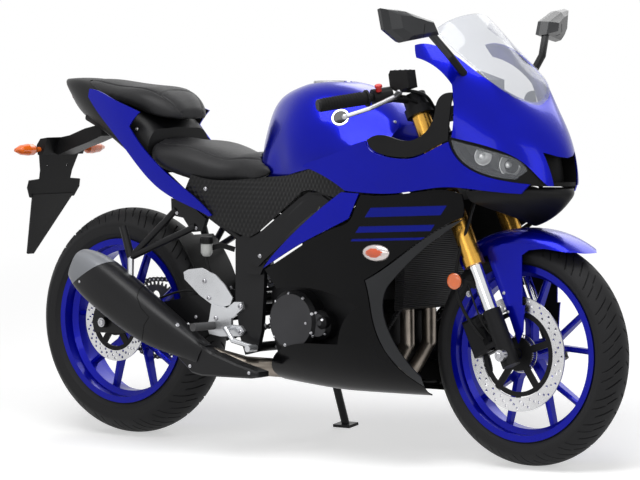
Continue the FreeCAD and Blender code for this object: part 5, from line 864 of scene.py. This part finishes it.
# Each groove: first and last place along the period, and its reach across, as shares
GROOVE_SHARES = ((0.04, 0.11, 0.10, 0.74), (0.37, 0.43, 0.34, 0.92), (0.66, 0.72, 0.16, 0.50),
                 (0.70, 0.76, 0.62, 0.95))


def tread_columns():
    """The places along a period where the tread's surface bends."""
    columns = {0.0}
    for first, last, _, _ in GROOVE_SHARES:
        columns |= {first, first + GROOVE_EDGE_SHARE, last - GROOVE_EDGE_SHARE, last}
    return sorted(columns)


def groove_depth(column, across_share, side):
    place_share = (column + (0.5 if side > 0 else 0.0)) % 1.0
    margin = GROOVE_EDGE_SHARE / 2
    for first, last, low, high in GROOVE_SHARES:
        if first + margin < place_share < last - margin and low < across_share < high:
            return TREAD_DEPTH
    return 0.0


def make_tyre(node, body, axle, radius, width, drop, bead_half, periods):
    """A tyre whose grooves run slanted from the middle to the shoulders."""
    section = tyre_section(radius, width, drop, bead_half)
    half = width / 2
    base = tread_columns()
    both = sorted(set(base) | {(share + 0.5) % 1.0 for share in base})
    corners = []
    centre = place(*axle)
    for period in range(periods):
        for column in both:
            for y, reach, tread in section:
                share = min(1.0, abs(y) / half)
                depth = groove_depth(column, share, y) if tread else 0.0
                slant = TREAD_SLANT_SHARE * share ** TREAD_BEND
                angle = 2 * math.pi * (period + column + slant) / periods
                r = reach - depth
                corners.append(centre + heading(r * math.sin(angle), y, r * math.cos(angle))
                               * MILLIMETRE)
    rows = len(section)
    columns = periods * len(both)
    faces = []
    for column in range(columns):
        after = (column + 1) % columns
        for row in range(rows):
            above = (row + 1) % rows
            faces.append((column * rows + row, column * rows + above, after * rows + above,
                          after * rows + row))
    builder = Builder()
    builder.add(corners, faces)
    piece = builder.piece(node + "_tread", body, "tyre", tyre_rubber, crease=32.0)
    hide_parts(node)


make_tyre("front_tyre", "front_wheel", FRONT_AXLE, FRONT_TYRE_RADIUS, FRONT_TYRE_WIDTH,
          FRONT_CROWN_DROP, FRONT_BEAD_HALF, 22)
make_tyre("rear_tyre", "rear_wheel", REAR_AXLE, REAR_TYRE_RADIUS, REAR_TYRE_WIDTH,
          REAR_CROWN_DROP, REAR_BEAD_HALF, 24)


# The chain's links


PLATE_THICKNESS = 1.6
OUTER_PLATE = (6.0, 7.0)
INNER_PLATE = (4.2, 6.4)
PLATE_WAIST_SHARE = 0.72
PLATE_STEPS = 5
ROLLER = ((5.0, -4.0), (5.0, 4.0))
PIN = ((2.6, -8.0), (2.6, 8.0))


def arc(centre, reach, start, sweep, steps=180):
    """Places along an arc of the side view."""
    return [(centre[0] + reach * math.cos(start + sweep * step / steps),
             centre[1] + reach * math.sin(start + sweep * step / steps))
            for step in range(steps + 1)]


def chain_line():
    """The pitch line of the chain, as places along it, one pitch apart."""
    rear = CHAIN_PITCH / (2 * math.sin(math.pi / SPROCKET_TEETH))
    front = CHAIN_PITCH / (2 * math.sin(math.pi / DRIVE_TEETH))
    dx = DRIVE_SHAFT[0] - REAR_AXLE[0]
    dz = DRIVE_SHAFT[1] - REAR_AXLE[2]
    span = math.hypot(dx, dz)
    lie = math.atan2(dz, dx)
    open_turn = math.acos((rear - front) / span)
    fine = arc((REAR_AXLE[0], REAR_AXLE[2]), rear, lie + open_turn, 2 * math.pi - 2 * open_turn)
    fine += arc(DRIVE_SHAFT, front, lie - open_turn, 2 * open_turn)
    fine.append(fine[0])
    total = sum(math.dist(a, b) for a, b in zip(fine, fine[1:]))
    count = 2 * round(total / CHAIN_PITCH / 2)
    pitch = total / count
    points = []
    walked = 0.0
    wanted = 0.0
    for a, b in zip(fine, fine[1:]):
        length = math.dist(a, b)
        while wanted <= walked + length and len(points) < count:
            share = (wanted - walked) / length
            points.append((a[0] + (b[0] - a[0]) * share, a[1] + (b[1] - a[1]) * share))
            wanted += pitch
        walked += length
    return points


def link_plate(builder, a, b, y, reach):
    """A plate with round ends and a waist, between two pins."""
    along = math.atan2(b[1] - a[1], b[0] - a[0])
    middle = ((a[0] + b[0]) / 2, (a[1] + b[1]) / 2)
    outline = []
    for centre, start in ((b, along - math.pi / 2), (a, along + math.pi / 2)):
        outline += arc(centre, reach, start, math.pi, PLATE_STEPS)
        outline += arc(middle, reach * PLATE_WAIST_SHARE, start + math.pi, 0.0, 1)[:1]
    count = len(outline)
    corners = [place(x, level, z) for level in (y, y + PLATE_THICKNESS) for x, z in outline]
    faces = [(step, step + count, (step + 1) % count + count, (step + 1) % count)
             for step in range(count)]
    faces += [tuple(range(count)), tuple(reversed(range(count, 2 * count)))]
    builder.add(corners, faces)


def make_chain():
    builder = Builder()
    points = chain_line()
    across = heading(0, 1, 0)
    for index, a in enumerate(points):
        b = points[(index + 1) % len(points)]
        offset, reach = INNER_PLATE if index % 2 else OUTER_PLATE
        for side, sunk in ((RIGHT, PLATE_THICKNESS), (LEFT, 0.0)):
            link_plate(builder, a, b, CHAIN_LINE + side * offset - sunk, reach)
        pivot = place(a[0], CHAIN_LINE, a[1])
        turned(builder, pivot, across, ROLLER, 10, 1, foot=True)
        turned(builder, pivot, across, PIN, 8, 1, foot=True)
    piece = builder.piece("chain_links", "chassis", "steel", dark_steel, steel)
    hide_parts("chain")


make_chain()


# Screws and nuts, where the photograph shows them, and the same on the left


SCREW_PIXELS = ((205.5, 188.8, 4.5), (136.9, 128.8, 4.0), (260, 256, 4.5), (249, 373, 4.0),
                (177.5, 325, 4.0), (196, 317, 4.0), (190, 366, 4.0), (177, 213, 4.0),
                (196, 228, 4.0), (79.5, 281.6, 3.0), (276, 346, 3.6), (285, 345, 3.6),
                (265, 325, 3.6), (231, 288, 4.5), (504, 293, 3.6), (508, 312, 3.6),
                (395, 122, 3.6))
BOSS_PIXELS = ((204.5, 281, 6.0), (209, 298, 6.0), (240.5, 306.5, 7.0), (241, 332, 7.0),
               (216, 318, 6.0))
NUT_PIXEL = (469, 294)
NUT_RADIUS = 6.0
NUT_HEIGHT = 6.0
AXLE_NUT_RADIUS = 9.5
AXLE_NUT_HEIGHT = 7.0

# Rings of screws on the engine: centre, side, reach, number, radius and first angle
COVER_SCREWS = (((706, 352), RIGHT, 74.0, 9, 3.4, 0.3), ((790, 344), RIGHT, 33.0, 5, 3.0, 0.5),
                ((860, 340), LEFT, 68.0, 9, 3.4, 0.3))


def make_fasteners():
    gathered = {}
    for px, py, radius in SCREW_PIXELS + BOSS_PIXELS:
        for spot in both_sides(px, py):
            screw(gathered.setdefault(body_of[spot[2]], Builder()), spot, radius)
    for spot in both_sides(*NUT_PIXEL):
        builder = gathered.setdefault(body_of[spot[2]], Builder())
        hexagon(builder, spot, NUT_RADIUS, NUT_HEIGHT)
    for body, builder in sorted(gathered.items()):
        builder.piece(body + "_screws", body, "steel", steel)


def make_engine_screws():
    builder = Builder()
    for centre, side, reach, count, radius, start in COVER_SCREWS:
        for index in range(count):
            angle = start + 2 * math.pi * index / count
            spot = beside(centre[0] + reach * math.cos(angle), centre[1] + reach * math.sin(angle),
                          side, ["engine"])
            if spot:
                screw(builder, spot, radius)
    builder.piece("engine_screws", "chassis", "steel", steel)


# Axle ends, valves and the toothed ring of the front wheel


def make_axle_ends():
    front = Builder()
    rear = Builder()
    for side in (RIGHT, LEFT):
        for node, axle, builder in (("fork_lowers", FRONT_AXLE, front),
                                    ("swingarm", REAR_AXLE, rear)):
            spot = beside(axle[0], axle[2], side, [node])
            if spot:
                hexagon(builder, (spot[0], heading(0, side, 0)), AXLE_NUT_RADIUS, AXLE_NUT_HEIGHT)
    front.piece("front_axle_nuts", "steering", "steel", steel)
    rear.piece("rear_axle_nuts", "chassis", "steel", steel)


SENSOR_RING_SIDE = -46.0
SENSOR_RING_OUTER = 50.0
SENSOR_RING_INNER = 36.0
SENSOR_RING_THICKNESS = 2.0
SENSOR_RING_EDGE = 2.0
SENSOR_BAR_SINK = 1.5
SENSOR_BAR_HALF = 1.1
SENSOR_BARS = 44
VALVE_REACH = 204.0
VALVE_PROFILE = ((4.2, -2.0), (4.2, 8.0), (2.6, 11.0), (2.6, 24.0), (3.6, 24.5), (3.6, 34.0),
                 (2.4, 36.0))


def make_sensor_ring():
    """A flat ring with windows, as a speed sensor reads it."""
    builder = Builder()
    centre = place(FRONT_AXLE[0], SENSOR_RING_SIDE, FRONT_AXLE[2])
    across = heading(0, -1, 0)
    thickness = SENSOR_RING_THICKNESS
    for outer in (SENSOR_RING_OUTER, SENSOR_RING_INNER + SENSOR_RING_EDGE):
        inner = outer - SENSOR_RING_EDGE
        ring = ((outer, 0.0), (outer, thickness), (inner, thickness), (inner, 0.0), (outer, 0.0))
        turned(builder, centre, across, ring, 60, head=False)
    half = thickness / 2
    outline = ((-SENSOR_BAR_HALF, -half), (SENSOR_BAR_HALF, -half), (SENSOR_BAR_HALF, half),
               (-SENSOR_BAR_HALF, half))
    middle = centre + across * half * MILLIMETRE
    for index in range(SENSOR_BARS):
        angle = 2 * math.pi * index / SENSOR_BARS
        out = heading(math.cos(angle), 0, math.sin(angle)) * MILLIMETRE
        ends = (SENSOR_RING_INNER + SENSOR_BAR_SINK, SENSOR_RING_OUTER - SENSOR_BAR_SINK)
        swept(builder, [(middle + out * reach, across) for reach in ends], outline)
    builder.piece("front_sensor_ring", "front_wheel", "steel", steel, crease=30.0)


def make_valves():
    for name, body, axle, angle in (("front_valve", "front_wheel", FRONT_AXLE, 2.6),
                                    ("rear_valve", "rear_wheel", REAR_AXLE, 0.7)):
        builder = Builder()
        out = heading(-math.cos(angle), 0, -math.sin(angle))
        turned(builder, place(*axle) - out * VALVE_REACH * MILLIMETRE, out, VALVE_PROFILE, 12)
        builder.piece(name, body, "tyre", grip_rubber)


# The fork's side reflectors, the hoses and cables, and the controls on the handlebars


REFLECTOR_PLACE = (1236, 138, 478)
REFLECTOR_STAY = ((1258, 118, 472), (1278, 106, 466))
GRIP_INNER = (1010, 248, 946)
GRIP_OUTER = (962, 334, 932)
GRIP_RINGS = 14
BAR_END_SHARE = 0.09
KILL_SWITCH_PIXEL = (379, 92)
RESERVOIR_SCREWS = ((1064, -152), (1064, -172), (1098, -152), (1098, -172))

# Hoses, cables and wires of the steering: radius and route on the upright bike
STEERING_HOSES = {
    "front_brake_hose": (4.5, ((1268, -92, 700), (1262, -120, 620), (1232, -132, 520),
                               (1230, -126, 440), (1262, -112, 370), (1296, -96, 330))),
    "speed_wire": (2.4, ((1262, -118, 470), (1286, -124, 420), (1320, -118, 352),
                         (1362, -100, 312))),
    "clutch_cable": (3.2, ((1066, 190, 950), (1092, 160, 948), (1112, 104, 920), (1122, 50, 870))),
    "throttle_cable": (3.2, ((1066, -190, 950), (1092, -150, 948), (1116, -96, 916),
                             (1124, -46, 866))),
    "switch_loom": (4.6, ((1060, -150, 966), (1100, -128, 968), (1130, -96, 940),
                          (1120, -60, 880))),
}


def sided(point, side):
    """A place given for the left side, on either side."""
    return place(point[0], side * point[1], point[2])


def make_reflectors():
    glass = Builder()
    back = Builder()
    for side in (RIGHT, LEFT):
        centre = sided(REFLECTOR_PLACE, side)
        out = heading(0.1, side, 0.0).normalized()
        turned(glass, centre + out * 0.003, out, ((21.0, 0.0), (21.0, 4.0), (19.0, 6.0), (12.0, 7.4),
                                                  (4.0, 8.0)), 28)
        turned(back, centre, out, ((15.0, -8.0), (23.5, -2.0), (23.5, 4.6), (21.2, 4.6)), 28,
               foot=True)
        stay = [(centre, out)] + [(sided(point, side), out) for point in REFLECTOR_STAY]
        swept(back, stay, ((-9.0, -4.0), (9.0, -4.0), (9.0, 0.0), (-9.0, 0.0)))
    glass.piece("fork_reflectors", "steering", "lamp_orange", lamp_orange)
    back.piece("fork_reflector_backs", "steering", "plastic_dark", dark_plastic)


def make_bar_parts():
    builder = Builder()
    grip_rings = Builder()
    for side in (RIGHT, LEFT):
        inner = sided(GRIP_INNER, side)
        outer = sided(GRIP_OUTER, side)
        along = (outer - inner).normalized()
        for index in range(GRIP_RINGS):
            spot = inner + (outer - inner) * (index / (GRIP_RINGS - 1))
            turned(grip_rings, spot, along, ((16.6, -2.0), (17.7, -1.2), (17.7, 1.2), (16.6, 2.0)),
                   24, head=False)
        end = outer + (outer - inner) * BAR_END_SHARE
        turned(builder, end, along, ((15.0, 0.0), (16.0, 2.0), (16.0, 9.0), (13.5, 12.0),
                                     (5.0, 12.5)), 24, foot=True)
    grip_rings.piece("grip_rings", "steering", "plastic_dark", grip_rubber)
    builder.piece("bar_ends", "steering", "frame_dark", frame_dark)


def make_kill_switch():
    spot = seen(*KILL_SWITCH_PIXEL, ["handlebars"])
    if spot:
        builder = Builder()
        up = heading(0.1, -0.3, 1.0).normalized()
        profile = ((7.5, -6.0), (7.5, 4.0), (10.0, 5.0), (10.0, 10.0), (8.0, 12.0))
        turned(builder, spot[0] + up * 0.008, up, profile, 18, foot=True)
        builder.piece("kill_switch", "steering", "plastic_dark", switch_red)


def make_reservoir_screws():
    builder = Builder()
    for x, y in RESERVOIR_SCREWS:
        point, normal, _, _ = tree_of("handlebars").ray_cast(place(x, y, ABOVE), heading(0, 0, -1))
        if point is not None:
            screw(builder, (point, normal), 2.6)
    builder.piece("reservoir_screws", "steering", "steel", steel)


# Lamps in the nose


# Each bowl's place on the left side, with its share of the full size
BOWLS = ((1390, 112, 780, 0.92), (1334, 152, 802, 0.72))
BOWL_PROFILE = ((9.0, -16.0), (19.0, -12.0), (27.0, -4.0), (31.0, 5.0), (33.0, 5.0), (33.0, 2.0),
                (29.0, -7.0))
BULB_PROFILE = ((7.0, 0.0), (9.0, 4.0), (7.0, 8.0), (2.0, 9.0))
LAMP_BARS = (((1436, 78, 756), (1430, 78, 784)), ((1428, 92, 752), (1422, 92, 780)))


def make_headlamp_parts():
    bowls = Builder()
    bars = Builder()
    for side in (RIGHT, LEFT):
        for *point, size in BOWLS:
            centre = sided(point, side)
            out = heading(1.0, side * 0.55, 0.0).normalized()
            profile = [(reach * size, height * size) for reach, height in BOWL_PROFILE]
            turned(bowls, centre, out, profile, 32, foot=True, head=False)
            turned(bowls, centre - out * 0.012 * size, out, BULB_PROFILE, 20)
        for ends in LAMP_BARS:
            swept(bars, [(sided(end, side), heading(1, 0, 0)) for end in ends],
                  ((-1.8, -2.0), (1.8, -2.0), (1.8, 2.0), (-1.8, 2.0)))
    bowls.piece("headlamp_bowls", "chassis", "chrome", reflector)
    bars.piece("lamp_bars", "chassis", "clear", lamp_white)


# Rear brake reservoir, brake hose and the stand's spring


REAR_CUP_PLACE = (396.0, -150.0, 512.0)
CAP_RIBS = 18


def make_rear_reservoir():
    """The rear brake's fluid cup with its ribbed cap, its stay and its hoses."""
    cup = Builder()
    cap = Builder()
    x, y, z = REAR_CUP_PLACE
    up = heading(0, 0, 1)
    turned(cup, place(x, y, z), up, ((9.0, 0.0), (13.0, 4.0), (16.0, 10.0), (16.0, 36.0)), 24,
           foot=True)
    turned(cap, place(x, y, z + 34), up, ((17.5, 0.0), (17.5, 16.0), (15.5, 19.0), (6.0, 19.5)), 24,
           foot=True)
    for index in range(CAP_RIBS):
        angle = 2 * math.pi * index / CAP_RIBS
        out = heading(math.cos(angle), math.sin(angle), 0)
        start = place(x, y, z + 36) + out * 0.0175
        swept(cap, ((start, out), (start + up * 0.012, out)),
              ((-1.0, -0.5), (1.0, -0.5), (1.0, 1.0), (-1.0, 1.0)))
    stay = ((x, y + 12, z + 20), (x + 34, y + 22, z + 30), (x + 74, y + 30, z + 20))
    swept(cap, [(place(*point), heading(0, -1, 0)) for point in stay],
          ((-7.0, -1.5), (7.0, -1.5), (7.0, 1.5), (-7.0, 1.5)))
    cup.piece("rear_brake_cup", "chassis", "plastic_grey", cup_white)
    cap.piece("rear_brake_cap", "chassis", "plastic_dark", dark_plastic)
    hose("reservoir_hose", 4.0, "chassis", ((x, y, z + 2), (x + 2, y, z - 24),
                                            (x + 24, y + 12, z - 70), (x + 30, y + 16, z - 130)))
    hose("rear_brake_hose", 3.4, "chassis", ((x + 30, y + 18, z - 140), (360, -140, 420),
                                             (260, -128, 410), (120, -112, 360), (40, -108, 330)))


SPRING_ENDS = ((560, 168, 262), (548, 196, 150))
SPRING_REACH = 7.0
SPRING_WIRE = 1.4
SPRING_TURNS = 14
SPRING_STEPS = 12


def make_stand_spring():
    start, tip = (place(*end) for end in SPRING_ENDS)
    along = tip - start
    across = along.orthogonal().normalized()
    other = along.normalized().cross(across)
    builder = Builder()
    path = []
    count = SPRING_TURNS * SPRING_STEPS
    for index in range(count + 1):
        angle = 2 * math.pi * index / SPRING_STEPS
        out = across * math.cos(angle) + other * math.sin(angle)
        path.append((start + along * (index / count) + out * SPRING_REACH * MILLIMETRE, out))
    outline = [(SPRING_WIRE * math.cos(math.radians(60 * i)),
                SPRING_WIRE * math.sin(math.radians(60 * i))) for i in range(6)]
    swept(builder, path, outline)
    builder.piece("stand_spring", "side_stand", "steel", steel)


# Plain badges, panel lines and louvres


BADGE_PIXEL = (340.5, 117.5)
BADGE_RING = ((24.5, -3.0), (24.5, 1.2), (23.0, 2.4), (19.5, 2.4), (18.5, 1.2))
BADGE_FACE = ((18.6, -3.0), (18.6, 1.2), (10.0, 1.8), (4.0, 2.0))


def make_badges():
    for spot, side in zip(both_sides(*BADGE_PIXEL, ["fuel_tank"]), ("right", "left")):
        builder = Builder()
        turned(builder, spot[0], spot[1], BADGE_RING, 48, 0, head=False)
        turned(builder, spot[0], spot[1], BADGE_FACE, 48, 1)
        builder.piece("tank_badge_" + side, "chassis", "chrome", chrome, face_glass)


# Seams: pixels along the line, the node that it lies on, its width and its height
SEAM_LINES = (
    (((425, 24), (424, 33), (423, 42)), "mirrors", 1.6, 0.5),
    (((144, 285), (139, 290), (137, 297), (141, 308), (149, 317), (144, 325), (142, 340)),
     "muffler", 2.4, 0.7),
)
LOUVRES = 7
LOUVRE_WIDTH = 2.5
LOUVRE_HEIGHT = 2.0
LOUVRE_NODES = ["fairing_blades", "lower_fairings"]

# The first and the last place of each end of a louvre, in pixels
LOUVRE_ENDS = (((424, 262), (450, 242)), ((434, 258), (458, 238)))


def make_panel_lines():
    builder = Builder()
    for pixels, node, width, height in SEAM_LINES:
        line_on(builder, pixels, [node], width, height)
    builder.piece("panel_lines", "chassis", "plastic_dark", inner_plastic)


def make_louvres():
    builder = Builder()
    for index in range(LOUVRES):
        share = index / (LOUVRES - 1)
        ends = [(ax + (bx - ax) * share, ay + (by - ay) * share)
                for (ax, ay), (bx, by) in LOUVRE_ENDS]
        line_on(builder, ends, LOUVRE_NODES, LOUVRE_WIDTH, LOUVRE_HEIGHT)
    builder.piece("fairing_louvres", "chassis", "plastic_dark", inner_plastic)


make_fasteners()
make_engine_screws()
make_axle_ends()
make_sensor_ring()
make_valves()
make_reflectors()
for name, (radius, route) in STEERING_HOSES.items():
    hose(name, radius, "steering", route)
make_bar_parts()
make_kill_switch()
make_reservoir_screws()
make_headlamp_parts()
make_rear_reservoir()
make_stand_spring()
make_badges()
make_panel_lines()
make_louvres()


# Camera, floor and lights


CLIP_END = 80.0
FLOOR_REACH = 30.0
FLOOR_GREY = (0.72, 0.72, 0.72, 1.0)
FLOOR_GLOW = 0.5
WHITE = (1.0, 1.0, 1.0, 1.0)
WHITE_FROM = 1.5
WHITE_TO = 3.5
WORLD_LIGHT = 0.22


def make_camera():
    data = bpy.data.cameras.new("camera")
    data.sensor_width = SENSOR_WIDTH
    data.lens = FOCAL_PIXELS / PICTURE_WIDTH * SENSOR_WIDTH
    data.clip_end = CLIP_END
    camera = bpy.data.objects.new("camera", data)
    bpy.context.scene.collection.objects.link(camera)
    right = heading(*CAMERA_RIGHT)
    up = heading(*CAMERA_UP)
    back = -heading(*CAMERA_FORWARD)
    turn = Matrix((right, up, back)).transposed().to_4x4()
    turn.translation = place(*CAMERA_PLACE)
    camera.matrix_world = turn
    bpy.context.scene.camera = camera


def seen_directly(tree):
    """One for rays from the camera, and for those that metal and glass send on."""
    path = wired(tree, "ShaderNodeLightPath", {})
    shown = sum_of(tree, "MAXIMUM", path.outputs["Is Camera Ray"], path.outputs["Is Glossy Ray"])
    return sum_of(tree, "MAXIMUM", shown, path.outputs["Is Transmission Ray"])


def make_floor():
    mesh = bpy.data.meshes.new("floor")
    reach = FLOOR_REACH
    corners = [(-reach, -reach, 0), (reach, -reach, 0), (reach, reach, 0), (-reach, reach, 0)]
    mesh.from_pydata(corners, [], [(0, 1, 2, 3)])
    floor = bpy.data.objects.new("floor", mesh)
    bpy.context.scene.collection.objects.link(floor)
    made = bpy.data.materials.new("floor")
    made.use_nodes = True
    tree = made.node_tree
    tree.nodes.clear()
    plain = wired(tree, "ShaderNodeBsdfDiffuse", {"Color": FLOOR_GREY})
    glow = wired(tree, "ShaderNodeEmission", {"Color": WHITE, "Strength": FLOOR_GLOW})
    pale = wired(tree, "ShaderNodeAddShader", {0: plain.outputs[0], 1: glow.outputs[0]})
    white = wired(tree, "ShaderNodeEmission", {"Color": WHITE, "Strength": 1.0})
    away = wired(tree, "ShaderNodeVectorMath", {0: object_place(tree)}, operation="LENGTH")
    far = wired(tree, "ShaderNodeMapRange", {"Value": away.outputs["Value"],
                                             "From Min": WHITE_FROM, "From Max": WHITE_TO})
    shown = wired(tree, "ShaderNodeMixShader", {0: far.outputs["Result"], 1: pale.outputs[0],
                                                2: white.outputs[0]})
    mix = wired(tree, "ShaderNodeMixShader", {0: seen_directly(tree), 1: plain.outputs[0],
                                              2: shown.outputs[0]})
    wired(tree, "ShaderNodeOutputMaterial", {"Surface": mix.outputs[0]})
    mesh.materials.append(made)


def make_world():
    world = bpy.data.worlds.new("world")
    bpy.context.scene.world = world
    world.use_nodes = True
    tree = world.node_tree
    tree.nodes.clear()
    white = wired(tree, "ShaderNodeBackground", {"Color": WHITE, "Strength": 1.0})
    light = wired(tree, "ShaderNodeBackground", {"Color": WHITE, "Strength": WORLD_LIGHT})
    mix = wired(tree, "ShaderNodeMixShader", {0: seen_directly(tree), 1: light.outputs[0],
                                              2: white.outputs[0]})
    wired(tree, "ShaderNodeOutputWorld", {"Surface": mix.outputs[0]})


LIGHTS = (
    ("top_light", (0.4, -0.8, 3.6), (3.6, 1.6), 100.0),
    ("right_light", (1.2, -4.2, 2.4), (4.0, 0.8), 20.0),
    ("front_light", (4.4, -1.6, 1.6), (1.4, 2.6), 22.0),
    ("left_light", (-1.0, 4.2, 2.6), (3.5, 2.0), 45.0),
)
LIGHT_AIM = (0.0, 0.0, 0.55)


def make_lights():
    for name, where, size, power in LIGHTS:
        data = bpy.data.lights.new(name, "AREA")
        data.shape = "RECTANGLE"
        data.size, data.size_y = size
        data.energy = power
        light = bpy.data.objects.new(name, data)
        bpy.context.scene.collection.objects.link(light)
        light.location = where
        aim = Vector(LIGHT_AIM) - Vector(where)
        light.rotation_euler = aim.to_track_quat("-Z", "Y").to_euler()


make_camera()
make_floor()
make_world()
make_lights()
bpy.context.scene.view_settings.view_transform = "Standard"
